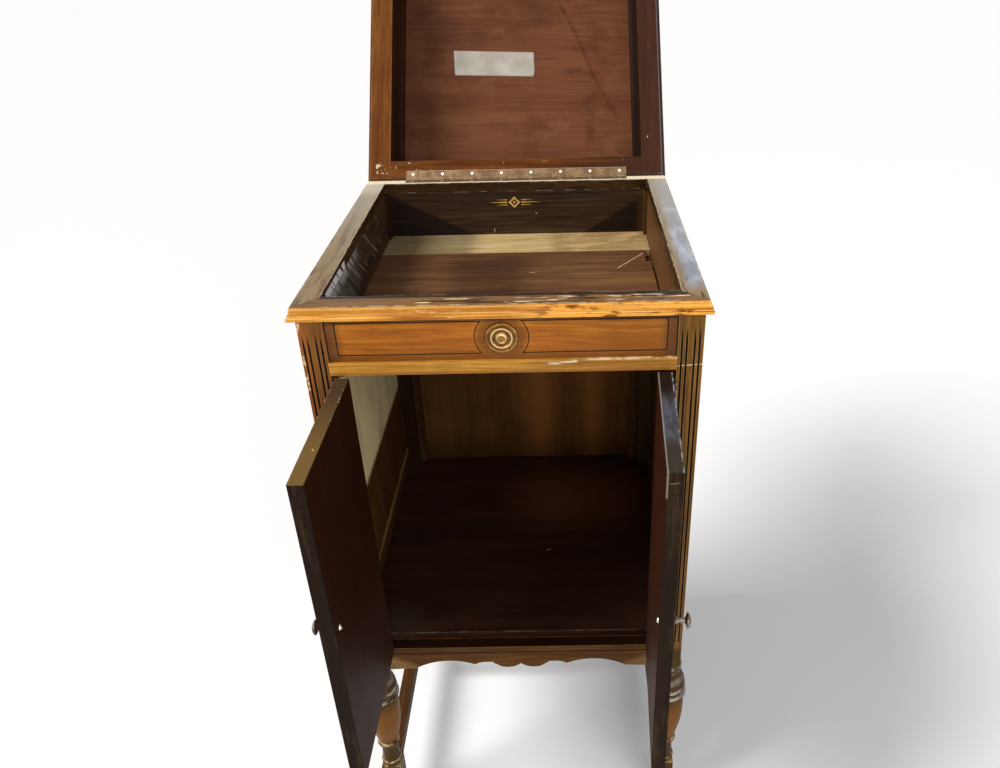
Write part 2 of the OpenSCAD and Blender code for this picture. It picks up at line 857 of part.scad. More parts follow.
module lid_rail_rear() {
    color(red_walnut) place() lifted() difference() {
        span([-lid_in_w, lid_in_rear, lid_z], [lid_in_w, rim_rear, lid_z + lid_rail_t]);
        span([-lid_hinge_l / 2, pin_y - lid_leaf_d, lid_z - eps],
             [lid_hinge_l / 2, rim_rear + eps, lid_z + lid_leaf_t]);
        lid_screw_places(lid_z) mirror([0, 0, 1]) screw_hole();
    }
}

module lid_long_side(side) {
    lifted() on_side(side)
        span([lid_in_w, lid_side_front, lid_z + lid_rail_t], [lid_side_out_w, lid_side_rear, lid_top_z]);
}

module lid_side_left() {
    color(walnut) place() lid_long_side(-1);
}

module lid_side_right() {
    color(walnut) place() lid_long_side(1);
}

module lid_side_front() {
    color(walnut) place() lifted()
        span([-lid_in_w, lid_side_front, lid_z + lid_rail_t], [lid_in_w, lid_in_front, lid_top_z]);
}

module lid_side_rear() {
    color(walnut) place() lifted()
        span([-lid_in_w, lid_in_rear, lid_z + lid_rail_t], [lid_in_w, lid_side_rear, lid_top_z]);
}

// section of the strip inside the lid: x is in from the lid's side, y is down from the top panel
module cove_section() {
    difference() {
        translate([0, -lid_cove_h]) square([lid_cove_w, lid_cove_h]);
        translate([lid_cove_w, -lid_cove_h]) circle(r = lid_cove_w - 1.5);
    }
}

// one strip, its back on the line y = 0, running along x and mitred at both ends
module cove_strip(length) {
    half = length / 2 - joint / 2;
    intersection() {
        translate([0, 0, lid_top_z]) rotate([0, 0, 90]) rotate([90, 0, 0])
            linear_extrude(height = length, center = true) cove_section();
        translate([0, 0, lid_top_z - lid_cove_h - eps]) linear_extrude(height = lid_cove_h + 2 * eps)
            polygon([[-half, 0], [half, 0], [half - 2 * lid_cove_w, 2 * lid_cove_w],
                     [-half + 2 * lid_cove_w, 2 * lid_cove_w]]);
    }
}

module lid_cove() {
    across = 2 * lid_in_w;
    along = lid_in_rear - lid_in_front;
    middle = (lid_in_rear + lid_in_front) / 2;
    color(red_walnut) place() lifted() {
        translate([0, lid_in_front, 0]) cove_strip(across);
        translate([0, lid_in_rear, 0]) rotate([0, 0, 180]) cove_strip(across);
        translate([-lid_in_w, middle, 0]) rotate([0, 0, -90]) cove_strip(along);
        translate([lid_in_w, middle, 0]) rotate([0, 0, 90]) cove_strip(along);
    }
}

// section of the top panel: flat, with both edges rounded
module round_slab(width) {
    translate([-width / 2 + lid_edge_r, 0]) square([width - 2 * lid_edge_r, lid_top_t]);
    for (side = [-1, 1])
        translate([side * (width / 2 - lid_edge_r), lid_edge_r]) circle(r = lid_edge_r);
}

module lid_top() {
    across = 2 * (lid_side_out_w + lid_top_over);
    along = lid_side_rear - lid_side_front + 2 * lid_top_over;
    middle = (lid_side_rear + lid_side_front) / 2;
    color(walnut) place() lifted() translate([0, middle, lid_top_z]) intersection() {
        rotate([90, 0, 0]) linear_extrude(height = along + 2 * eps, center = true) round_slab(across);
        rotate([90, 0, 90]) linear_extrude(height = across + 2 * eps, center = true) round_slab(along);
    }
}

// ---- doors ----

// screws of a door hinge's leaf, from the pin: on the post they point right, on the door left
module post_screw_places() {
    for (z = [-1, 0, 1]) translate([0, butt_screw_d, z * butt_l / 3]) rotate([0, -90, 0]) children();
}

module door_screw_places() {
    for (z = [-1, 0, 1]) translate([-gap, butt_screw_d, z * butt_l / 3]) rotate([0, 90, 0]) children();
}

// Door hinge leaf from its pin. first is 0 or 1; left and right are the plate's faces.
module butt_leaf(first, left, right) {
    pitch = butt_l / butt_count;
    difference() {
        union() {
            span([left, 0, -butt_l / 2], [right, butt_leaf_d, butt_l / 2]);
            for (i = [first : 2 : butt_count - 1])
                translate([0, 0, -butt_l / 2 + i * pitch + end_gap / 2])
                    cylinder(r = butt_knuckle_r, h = pitch - end_gap);
        }
        // room for the other leaf's knuckles
        for (i = [1 - first : 2 : butt_count - 1])
            translate([0, 0, -butt_l / 2 + i * pitch - end_gap / 2])
                cylinder(r = butt_knuckle_r + end_gap, h = pitch + end_gap);
        cylinder(r = butt_pin_r + fit, h = butt_l + 2 * eps, center = true);
    }
}

module post_hinge_leaves() {
    color(brass) place() for (side = [-1, 1], z = butt_z) on_side(side)
        translate([hinge_x, hinge_y, z]) difference() {
            butt_leaf(0, 0, butt_leaf_t);
            post_screw_places() screw_hole();
        }
}

module post_hinge_screws() {
    color(steel) place() for (side = [-1, 1], z = butt_z) on_side(side)
        translate([hinge_x, hinge_y, z]) post_screw_places() screw();
}

module door_hinge_pins() {
    color(brass) place() for (side = [-1, 1], z = butt_z) on_side(side)
        translate([hinge_x, hinge_y, z]) {
            cylinder(r = butt_pin_r, h = butt_l + 2 * end_gap, center = true);
            for (end = [-1, 1]) translate([0, 0, end * (butt_l / 2 + end_gap + 1)])
                cylinder(r = butt_knuckle_r - 0.6, h = 2, center = true);
        }
}

module door_hinge_leaves(side, angle) {
    on_side(side) swung(angle) for (z = butt_z)
        translate([hinge_x, hinge_y, z]) difference() {
            butt_leaf(1, -gap - butt_leaf_t, -gap);
            door_screw_places() screw_hole();
        }
}

module door_hinge_screws(side, angle) {
    on_side(side) swung(angle) for (z = butt_z)
        translate([hinge_x, hinge_y, z]) door_screw_places() screw();
}

// Closed door on the right-hand side, from its free edge to its hinges.
module door(free_x, knob_inset) {
    hinge_edge = hinge_x - gap;
    line_low = [free_x + door_line_inset, door_face - eps, door_bottom + door_line_inset];
    line_high = [hinge_edge - door_line_inset, door_face + groove_d, door_top - door_line_inset];
    difference() {
        span([free_x, door_face, door_bottom], [hinge_edge, door_back, door_top]);
        // incised line
        difference() {
            span(line_low, line_high);
            span(line_low + [groove_w, -eps, groove_w], line_high + [-groove_w, eps, -groove_w]);
        }
        // seats of the hinges and the knob's screw
        for (z = butt_z) translate([hinge_x, hinge_y, z]) {
            span([-gap - butt_leaf_t, 0, -butt_l / 2], [eps, butt_leaf_d, butt_l / 2]);
            door_screw_places() screw_hole();
        }
        translate([free_x + knob_inset, door_face - eps, knob_h]) rotate([-90, 0, 0])
            cylinder(r = knob_screw_r + knob_screw_fit, h = door_t + 2 * eps);
    }
}

// turned knob, standing out along +z
module knob_shape(knob_out) {
    difference() {
        rotate_extrude() {
            polygon([[0, 0], [5.5, 0], [5.5, 1], [4, 2.4], [3.2, 4], [3.2, knob_out - 8],
                     [4.6, knob_out - 6.6], [knob_r - 0.6, knob_out - 5.2], [knob_r, knob_out - 4.2],
                     [knob_r, knob_out - 3.4], [knob_r - 0.8, knob_out - 2.6], [0, knob_out - 2.6]]);
            intersection() {
                dome_r = (pow(knob_r - 0.8, 2) + pow(2.6, 2)) / (2 * 2.6);
                translate([0, knob_out - dome_r]) circle(r = dome_r);
                translate([0, knob_out - 2.6]) square([knob_r, 2.6]);
            }
        }
        translate([0, 0, -eps]) cylinder(r = knob_screw_r + fit, h = 8 + eps);
    }
}

module knob(x, knob_out) {
    translate([x, door_face, knob_h]) rotate([90, 0, 0]) knob_shape(knob_out);
}

// round-headed screw from inside the door into the knob
module knob_screw(x) {
    head_h = 2.6;
    dome_r = (pow(knob_screw_head_r, 2) + pow(head_h, 2)) / (2 * head_h);
    translate([x, door_back, knob_h]) rotate([-90, 0, 0]) difference() {
        union() {
            intersection() {
                translate([0, 0, head_h - dome_r]) sphere(r = dome_r);
                cylinder(r = knob_screw_head_r + eps, h = head_h);
            }
            translate([0, 0, -door_t - 7]) cylinder(r = knob_screw_r, h = door_t + 7 + fit);
        }
        translate([-knob_screw_head_r, -0.4, head_h - 1]) cube([2 * knob_screw_head_r, 0.8, 2]);
    }
}

module left_door() {
    color(dark_walnut) place() on_side(-1) swung(left_open) door(left_free, left_knob_inset);
}

module right_door() {
    color(dark_walnut) place() swung(right_open) door(right_free, right_knob_inset);
}

module left_door_hinge_leaves() {
    color(brass) place() door_hinge_leaves(-1, left_open);
}

module right_door_hinge_leaves() {
    color(brass) place() door_hinge_leaves(1, right_open);
}

module left_door_hinge_screws() {
    color(steel) place() door_hinge_screws(-1, left_open);
}

module right_door_hinge_screws() {
    color(steel) place() door_hinge_screws(1, right_open);
}

module left_knob() {
    color(bronze) place() on_side(-1) swung(left_open)
        knob(left_free + left_knob_inset, left_knob_out);
}

module right_knob() {
    color(bronze) place() swung(right_open) knob(right_free + right_knob_inset, right_knob_out);
}

module left_knob_screw() {
    color(steel) place() on_side(-1) swung(left_open) knob_screw(left_free + left_knob_inset);
}

module right_knob_screw() {
    color(steel) place() swung(right_open) knob_screw(right_free + right_knob_inset);
}

rim_front();
rim_rear();
rim_left();
rim_right();
front_left_leg();
front_right_leg();
rear_left_leg();
rear_right_leg();
frieze_panel();
rosette();
head_rail();
left_side_panel();
right_side_panel();
back_panel();
left_side_rail();
right_side_rail();
rear_rail();
front_apron();
apron_ears();
well_wall_front();
well_wall_rear();
well_wall_left();
well_wall_right();
well_board_front();
well_board_rear();
shelf_cleats();
compartment_floor();
side_battens();
back_battens();
left_stretcher();
right_stretcher();
cross_stretcher();
rim_hinge_leaf();
rim_hinge_screws();
lid_hinge_pin();
post_hinge_leaves();
post_hinge_screws();
door_hinge_pins();
lid_rail_front();
lid_rail_rear();
lid_rail_left();
lid_rail_right();
lid_side_front();
lid_side_rear();
lid_side_left();
lid_side_right();
lid_cove();
lid_top();
lid_hinge_leaf();
lid_hinge_screws();
left_door();
left_door_hinge_leaves();
left_door_hinge_screws();
left_knob();
left_knob_screw();
right_door();
right_door_hinge_leaves();
right_door_hinge_screws();
right_knob();
right_knob_screw();
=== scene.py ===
"""Looks of a gramophone cabinet that stands open: worn walnut, darker wood inside, aged brass."""

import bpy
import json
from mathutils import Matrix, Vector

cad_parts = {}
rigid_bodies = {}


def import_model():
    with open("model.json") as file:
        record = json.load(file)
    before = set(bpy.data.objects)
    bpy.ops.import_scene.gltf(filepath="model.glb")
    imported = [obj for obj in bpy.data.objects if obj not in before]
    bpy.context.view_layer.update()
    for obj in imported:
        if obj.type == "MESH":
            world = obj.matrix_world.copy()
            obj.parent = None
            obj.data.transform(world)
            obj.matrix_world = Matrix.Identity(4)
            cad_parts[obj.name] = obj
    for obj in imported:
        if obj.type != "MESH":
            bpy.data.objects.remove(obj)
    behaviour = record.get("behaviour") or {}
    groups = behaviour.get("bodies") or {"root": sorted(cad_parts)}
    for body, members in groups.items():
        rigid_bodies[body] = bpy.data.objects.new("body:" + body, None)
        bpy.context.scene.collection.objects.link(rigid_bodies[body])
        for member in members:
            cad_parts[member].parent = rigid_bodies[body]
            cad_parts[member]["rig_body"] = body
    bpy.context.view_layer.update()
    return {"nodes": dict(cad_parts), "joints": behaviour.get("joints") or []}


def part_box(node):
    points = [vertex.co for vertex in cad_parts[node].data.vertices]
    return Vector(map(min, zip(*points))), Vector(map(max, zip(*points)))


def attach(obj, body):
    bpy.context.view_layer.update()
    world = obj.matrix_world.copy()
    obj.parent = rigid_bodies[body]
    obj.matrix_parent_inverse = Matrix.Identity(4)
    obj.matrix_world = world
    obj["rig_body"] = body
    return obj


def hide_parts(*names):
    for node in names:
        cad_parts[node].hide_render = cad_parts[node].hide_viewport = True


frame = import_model()

import json
import math

import bmesh
import bpy
from mathutils import Matrix, Vector, noise

# ---- places taken from the frame, in metres ----

NODES = frame["nodes"]
JOINTS = {joint["name"]: joint for joint in frame["joints"]}


def closing_turn(joint, limit):
    """(pin, axis, angle) that brings a point of an open leaf back to where it is when closed."""
    facts = JOINTS[joint]
    return Vector(facts["pos_m"]), Vector(facts["axis"]), math.radians(facts["range_deg"][limit])


LOWER_LIMIT, UPPER_LIMIT = 0, 1
LID = closing_turn("lid_hinge", UPPER_LIMIT)
LEFT_DOOR = closing_turn("left_door_hinge", UPPER_LIMIT)
RIGHT_DOOR = closing_turn("right_door_hinge", LOWER_LIMIT)


def closing_matrix(turn):
    """A closing turn as a matrix."""
    pin, axis, angle = turn
    return Matrix.Translation(pin) @ Matrix.Rotation(angle, 4, axis) @ Matrix.Translation(-pin)


def closed_box(node, turn):
    """Lowest and highest corner of a leaf's piece when the leaf is closed."""
    closing = closing_matrix(turn)
    places = [closing @ vertex.co for vertex in NODES[node].data.vertices]
    low = Vector([min(place[i] for place in places) for i in range(3)])
    high = Vector([max(place[i] for place in places) for i in range(3)])
    return low, high


MIDDLE_Y = (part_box("front_left_leg")[0].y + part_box("rear_left_leg")[1].y) / 2
CASE_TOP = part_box("front_left_leg")[1].z
APRON_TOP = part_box("front_apron")[1].z
POST_CORNERS = [vertex.co for vertex in NODES["front_left_leg"].data.vertices if vertex.co.z > APRON_TOP]
POST_OUT_X = -min(corner.x for corner in POST_CORNERS)
POST_IN_X = -max(corner.x for corner in POST_CORNERS)
FRONT_Y = min(corner.y for corner in POST_CORNERS)
HALF_POST = (POST_OUT_X - POST_IN_X) / 2
LEG_X = POST_OUT_X - HALF_POST
LEG_Y = MIDDLE_Y - FRONT_Y - HALF_POST
FRIEZE_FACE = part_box("frieze_panel")[0].y
FRIEZE_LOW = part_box("frieze_panel")[0].z
ROSETTE = sum(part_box("rosette"), Vector()) / 2
HEAD_RAIL_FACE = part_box("head_rail")[0].y
RIM_LOW, RIM_TOP = (corner.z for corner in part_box("rim_front"))
RIM_OUT_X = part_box("rim_right")[1].x
WELL_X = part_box("well_wall_right")[0].x
WELL_FRONT_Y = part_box("well_wall_front")[1].y
WELL_REAR_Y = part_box("well_wall_rear")[0].y
WELL_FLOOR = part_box("well_board_front")[1].z
PANEL_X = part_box("right_side_panel")[0].x
FLOOR_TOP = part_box("compartment_floor")[1].z
FLOOR_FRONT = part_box("compartment_floor")[0].y
LID_SIDE_X = closed_box("lid_side_right", LID)[0].x
LID_FRONT_Y = closed_box("lid_side_front", LID)[1].y
LID_REAR_Y = closed_box("lid_side_rear", LID)[0].y
LID_UNDER = closed_box("lid_rail_front", LID)[0].z


def at(x, y, z):
    """A place given from the middle of the case, at floor level."""
    return Vector((x, MIDDLE_Y + y, z))


# ---- shader building ----

MIX_INPUTS = (0, 6, 7)      # sockets of a Mix node that mixes colours: factor, first, second
MIX_RESULT = 2
ARRIS_CONTRAST = 5.0
COAT_ROUGHNESS = 0.22
PIECE_STEP = (7.0, 13.0, 5.0)


def tone(code):
    """A colour written as on a screen, rrggbb, in the linear values that the shaders take."""
    parts = [int(code[i:i + 2], 16) / 255 for i in (0, 2, 4)]
    return tuple(c / 12.92 if c <= 0.04045 else ((c + 0.055) / 1.055) ** 2.4 for c in parts)


def along(grain, factor):
    """A scale that is slowed down by factor along the grain."""
    return tuple(factor if axis == grain else 1.0 for axis in "XYZ")


class Shader:
    """A material or world under construction: each call adds a node and gives its output."""

    def __init__(self, owner):
        owner.use_nodes = True
        self.owner = owner
        self.tree = owner.node_tree
        self.tree.nodes.clear()

    def add(self, kind, inputs, **settings):
        node = self.tree.nodes.new(kind)
        for key, value in settings.items():
            setattr(node, key, value)
        for key, value in inputs.items():
            if isinstance(value, bpy.types.NodeSocket):
                self.tree.links.new(value, node.inputs[key])
            else:
                node.inputs[key].default_value = value
        return node

    def math(self, operation, first, second=0.0, clamp=False):
        inputs = {0: first, 1: second}
        return self.add("ShaderNodeMath", inputs, operation=operation, use_clamp=clamp).outputs[0]

    def times(self, *factors):
        product = factors[0]
        for factor in factors[1:]:
            product = self.math("MULTIPLY", product, factor)
        return product

    def plus(self, *terms):
        total = terms[0]
        for term in terms[1:]:
            total = self.math("ADD", total, term)
        return total

    def vector_math(self, operation, first, second):
        return self.add("ShaderNodeVectorMath", {0: first, 1: second}, operation=operation).outputs[0]

    def dot(self, first, second):
        inputs = {0: first, 1: second}
        return self.add("ShaderNodeVectorMath", inputs, operation="DOT_PRODUCT").outputs["Value"]

    def length(self, vector):
        return self.add("ShaderNodeVectorMath", {0: vector}, operation="LENGTH").outputs["Value"]

    def normal(self):
        return self.add("ShaderNodeNewGeometry", {}).outputs["Normal"]

    def band(self, value, low, high):
        """0 below low, 1 above high and smooth between; low may be the higher number."""
        inputs = {"Value": value, "From Min": low, "From Max": high}
        return self.add("ShaderNodeMapRange", inputs, interpolation_type="SMOOTHSTEP").outputs[0]

    def high_part(self, value, share, sharp):
        """1 where a noise is high, on about this share of the surface."""
        edge = 0.72 - 0.42 * share
        return self.band(value, edge - sharp, edge + sharp)

    def noise(self, vector, scale, detail=3.0, roughness=0.55):
        inputs = {"Vector": vector, "Scale": scale, "Detail": detail, "Roughness": roughness}
        return self.add("ShaderNodeTexNoise", inputs).outputs[0]

    def triple(self, value):
        return self.add("ShaderNodeCombineXYZ", {"X": value, "Y": value, "Z": value}).outputs[0]

    def mix(self, factor, first, second):
        """The first colour where factor is 0 and the second where it is 1."""
        colours = [(*colour, 1) if isinstance(colour, tuple) else colour for colour in (first, second)]
        inputs = dict(zip(MIX_INPUTS, (factor, *colours)))
        return self.add("ShaderNodeMix", inputs, data_type="RGBA").outputs[MIX_RESULT]

    def ramp(self, value, stops):
        """Colour along value; stops are (position, colour)."""
        node = self.add("ShaderNodeValToRGB", {0: value})
        elements = node.color_ramp.elements
        while len(elements) < len(stops):
            elements.new(0.5)
        for element, (position, colour) in zip(elements, stops):
            element.position = position
            element.color = (*colour, 1)
        return node.outputs[0]

    def place(self, turn=None):
        """Where a point is on the closed object; turn is the closing turn of its leaf."""
        here = self.add("ShaderNodeTexCoord", {}).outputs["Object"]
        if turn is None:
            return here
        pin, axis, angle = turn
        inputs = {"Vector": here, "Center": pin, "Axis": axis, "Angle": angle}
        return self.add("ShaderNodeVectorRotate", inputs, rotation_type="AXIS_ANGLE").outputs[0]

    def shifted(self, vector):
        """The same place moved by a step of its own for each piece, so that no two boards match."""
        chance = self.add("ShaderNodeObjectInfo", {}).outputs["Random"]
        step = self.scaled(self.triple(chance), PIECE_STEP)
        return self.vector_math("ADD", vector, step)

    def scaled(self, vector, scale):
        return self.vector_math("MULTIPLY", vector, scale)

    def coordinate(self, vector, axis):
        return self.add("ShaderNodeSeparateXYZ", {"Vector": vector}).outputs["XYZ".index(axis)]

    def arris(self, radius):
        """Near 1 within radius of an edge of the wood, 0 on the flat."""
        soft = self.add("ShaderNodeBevel", {"Radius": radius}, samples=6).outputs[0]
        bend = self.math("SUBTRACT", 1.0, self.dot(soft, self.normal()))
        return self.math("MULTIPLY", bend, ARRIS_CONTRAST, clamp=True)

    def finish(self, colour, roughness, height, depth, specular=0.5, coat=0.0, metallic=0.0):
        bump = self.add("ShaderNodeBump", {"Height": height, "Distance": depth, "Strength": 1.0})
        inputs = {"Base Color": colour, "Roughness": roughness, "Normal": bump.outputs[0]}
        inputs.update({"Specular IOR Level": specular, "Metallic": metallic})
        inputs.update({"Coat Weight": coat, "Coat Roughness": COAT_ROUGHNESS})
        shader = self.add("ShaderNodeBsdfPrincipled", inputs)
        self.add("ShaderNodeOutputMaterial", {0: shader.outputs[0]})
        return self.owner


# ---- masks: each gives a function of (shader, place) that is 1 where a mark shows ----

SCRATCH_CORE = 0.4          # part of a scratch's half width that shows in full


def beyond(axis, value, soft):
    """Past value on an axis; a negative soft gives the other side."""
    return lambda s, place: s.band(s.coordinate(place, axis), value - soft, value + soft)


def region(soft=0.004, **limits):
    """Inside a box: region(x=(low, high), z=(low, high))."""
    def mask(s, place):
        sides = []
        for axis, (low, high) in limits.items():
            value = s.coordinate(place, axis.upper())
            sides.append(s.band(value, low - soft, low + soft))
            sides.append(s.band(value, high + soft, high - soft))
        return s.times(*sides)
    return mask


def below_slope(along_x, height):
    """Under a slanting line on a wall that faces forward: z = height + along_x * x."""
    def mask(s, place):
        level = s.plus(s.coordinate(place, "Z"), s.times(s.coordinate(place, "X"), -along_x))
        return s.band(level, height + 0.003, height - 0.003)
    return mask


def slashes(mask, lean, scale, share, sharp=0.04):
    """Slanting marks on a wall that faces sideways: they lean back by lean for each metre down."""
    def slash(s, place):
        level = s.coordinate(place, "Z")
        back = s.plus(s.coordinate(place, "Y"), s.times(level, lean))
        slanted = s.add("ShaderNodeCombineXYZ", {"X": 0.0, "Y": back, "Z": s.times(level, 0.12)}).outputs[0]
        return s.times(mask(s, place), s.high_part(s.noise(slanted, scale, 3.0, 0.6), share, sharp))
    return slash


def speckled(mask, scale, share, stretch=(1.0, 1.0, 1.0), sharp=0.03):
    """The part of a mask that a noise covers: share is about how much of it."""
    def speckle(s, place):
        grains = s.noise(s.scaled(place, stretch), scale, 4.0, 0.6)
        return s.times(mask(s, place), s.high_part(grains, share, sharp))
    return speckle


def both(*masks):
    """Where all the masks show."""
    return lambda s, place: s.times(*[mask(s, place) for mask in masks])


def near_arris(radius):
    """Along the edges of the piece."""
    return lambda s, place: s.arris(radius)


def facing(axis, sign, least=0.5):
    """Where the surface of a piece that doesn't turn looks along an axis."""
    def mask(s, place):
        return s.band(s.times(s.coordinate(s.normal(), axis), float(sign)), least, least + 0.2)
    return mask


def line(start, end, width):
    """A scratch from one point to another."""
    run = end - start
    length = run.length
    heading = run / length

    def mask(s, place):
        offset = s.vector_math("SUBTRACT", place, start)
        reached = s.dot(offset, heading)
        away = s.length(s.vector_math("CROSS_PRODUCT", offset, heading))
        inside = s.times(s.band(reached, -width, width), s.band(reached, length + width, length - width))
        return s.times(inside, s.band(away, width, width * SCRATCH_CORE))
    return mask


def ring(centre, radius, width):
    """A circle on a face that looks forward."""
    def mask(s, place):
        offset = s.scaled(s.vector_math("SUBTRACT", place, centre), (1.0, 0.0, 1.0))
        off_line = s.math("ABSOLUTE", s.math("SUBTRACT", s.length(offset), radius))
        return s.band(off_line, width, width * SCRATCH_CORE)
    return mask


def any_of(*masks):
    """Where one mask or another shows."""
    def mask(s, place):
        most = masks[0](s, place)
        for other in masks[1:]:
            most = s.math("MAXIMUM", most, other(s, place))
        return most
    return mask


def outside(x, soft):
    """Further than x from the middle, on either side."""
    return any_of(beyond("X", x, soft), beyond("X", -x, -soft))


def lines(level, *runs):
    """Lines on a level face, each (x0, y0, x1, y1, width) with places from the middle of the case."""
    return any_of(*[line(at(x0, y0, level), at(x1, y1, level), width) for x0, y0, x1, y1, width in runs])


def marked(s, place, colour, marks):
    """The colour with marks laid over it in turn, each (mask, colour) or (mask, colour, strength)."""
    for mask, code, *strength in marks:
        colour = s.mix(s.times(mask(s, place), *strength), colour, tone(code))
    return colour


def in_flute(s, place):
    """1 inside the flutes of the posts, which lie inside the square of each post."""
    beside = s.math("ABSOLUTE", s.math("SUBTRACT", s.math("ABSOLUTE", s.coordinate(place, "X")), LEG_X))
    from_middle = s.math("SUBTRACT", s.coordinate(place, "Y"), MIDDLE_Y)
    before = s.math("ABSOLUTE", s.math("SUBTRACT", s.math("ABSOLUTE", from_middle), LEG_Y))
    outermost = s.math("MAXIMUM", beside, before)
    upper = s.band(s.coordinate(place, "Z"), APRON_TOP - 0.002, APRON_TOP + 0.002)
    return s.times(upper, s.band(outermost, HALF_POST - 0.00002, HALF_POST - 0.00025))


# ---- materials ----

GRAINS = {"across": "X", "deep": "Y"}
DARKEST_LEVEL, LEVEL_SPAN = 0.34, 0.32      # noise at the first tone, and from there to the last
GRAIN_DEPTH = 0.00008
SCRATCH_DEPTH = 0.00003


def wood(name, tones, grain, turn=None, marks=(), figure=24.0, worn=None, wear=0.5, wear_width=0.002,
         grime=0.3, pores=0.4, coat=0.0, specular=0.25, roughness=0.42):
    """Stained or bare wood. tones run from the darkest streak to the lightest. worn is the colour
    that shows where the finish is rubbed off an arris, wear how far that has gone."""
    s = Shader(bpy.data.materials.new(name))
    place = s.place(turn)
    own = s.shifted(place)
    bend = s.noise(s.scaled(own, along(grain, 0.3)), 6.0, 2.0)
    wander = s.vector_math("ADD", own, s.scaled(s.triple(bend), (0.04, 0.04, 0.04)))
    lengthwise = s.scaled(wander, along(grain, 0.05))
    broad = s.noise(lengthwise, figure, 4.0, 0.6)
    fine = s.noise(lengthwise, figure * 8, 3.0, 0.6)
    streak = s.plus(s.times(broad, 0.6), s.times(fine, 0.4))
    step = LEVEL_SPAN / (len(tones) - 1)
    colour = s.ramp(streak, [(DARKEST_LEVEL + step * i, tone(code)) for i, code in enumerate(tones)])
    hair = s.noise(s.scaled(own, along(grain, 0.03)), 800.0, 2.0)
    pore = s.band(hair, 0.55, 0.68)
    dark = tuple(0.3 * channel for channel in tone(tones[0]))
    colour = s.mix(s.times(pore, pores), colour, dark)
    cloud = s.noise(own, 7.0, 4.0, 0.6)
    colour = s.mix(s.times(s.band(cloud, 0.46, 0.7), grime), colour, dark)
    rough = s.plus(roughness, s.times(cloud, 0.2))
    if worn:
        ragged = s.noise(s.scaled(own, along(grain, 0.3)), 150.0, 5.0, 0.65)
        patchy = s.noise(own, 16.0)
        near = s.arris(wear_width)
        reach = s.plus(near, s.times(ragged, 0.9), s.times(patchy, 0.9))
        edge = 2.0 - 0.6 * wear
        rubbed = s.times(near, s.band(reach, edge - 0.12, edge + 0.12))
        colour = s.mix(rubbed, colour, tone(worn))
        rough = s.plus(rough, s.times(rubbed, 0.2))
    colour = marked(s, place, colour, marks)
    height = s.plus(s.times(fine, 0.5), s.times(pore, -0.6))
    return s.finish(colour, rough, height, GRAIN_DEPTH, specular, coat)


def metal(name, bright, dull, roughness=0.35, spots=160.0, patina=0.5, marks=()):
    """Aged metal: the colour goes dull in patches and stays bright at the edges."""
    s = Shader(bpy.data.materials.new(name))
    place = s.place()
    own = s.shifted(place)
    cloud = s.noise(own, spots, 5.0, 0.65)
    edge = 0.62 - 0.25 * patina
    dulled = s.band(cloud, edge - 0.1, edge + 0.1)
    aged = s.math("SUBTRACT", dulled, s.times(s.arris(0.001), 0.7), clamp=True)
    colour = marked(s, place, s.mix(aged, tone(bright), tone(dull)), marks)
    rough = s.plus(roughness, s.times(aged, 0.25))
    scratch = s.noise(s.scaled(own, (1.0, 0.15, 1.0)), spots * 12, 2.0)
    return s.finish(colour, rough, scratch, SCRATCH_DEPTH, metallic=1.0)


def case_wood(way):
    """Outer boards, darker low down."""
    low = beyond("Z", APRON_TOP - 0.1, -0.05)
    return wood(f"case_walnut_{way}", ("3a2110", "6b431f", "96632c"), GRAINS[way], worn="c9944e", wear=0.55,
                marks=[(low, "2f1c0c", 0.55)])


def stretcher_wood(way):
    """Like the case on the outer faces, dull and dark on the faces towards the middle."""
    inner = any_of(both(facing("X", 1), beyond("X", 0.0, -0.01)),
                   both(facing("X", -1), beyond("X", 0.0, 0.01)))
    return wood(f"stretcher_walnut_{way}", ("2a1708", "4a2c12", "6a4521"), GRAINS[way], worn="b98a50",
                marks=[(inner, "3b3226", 0.8)], specular=0.08)


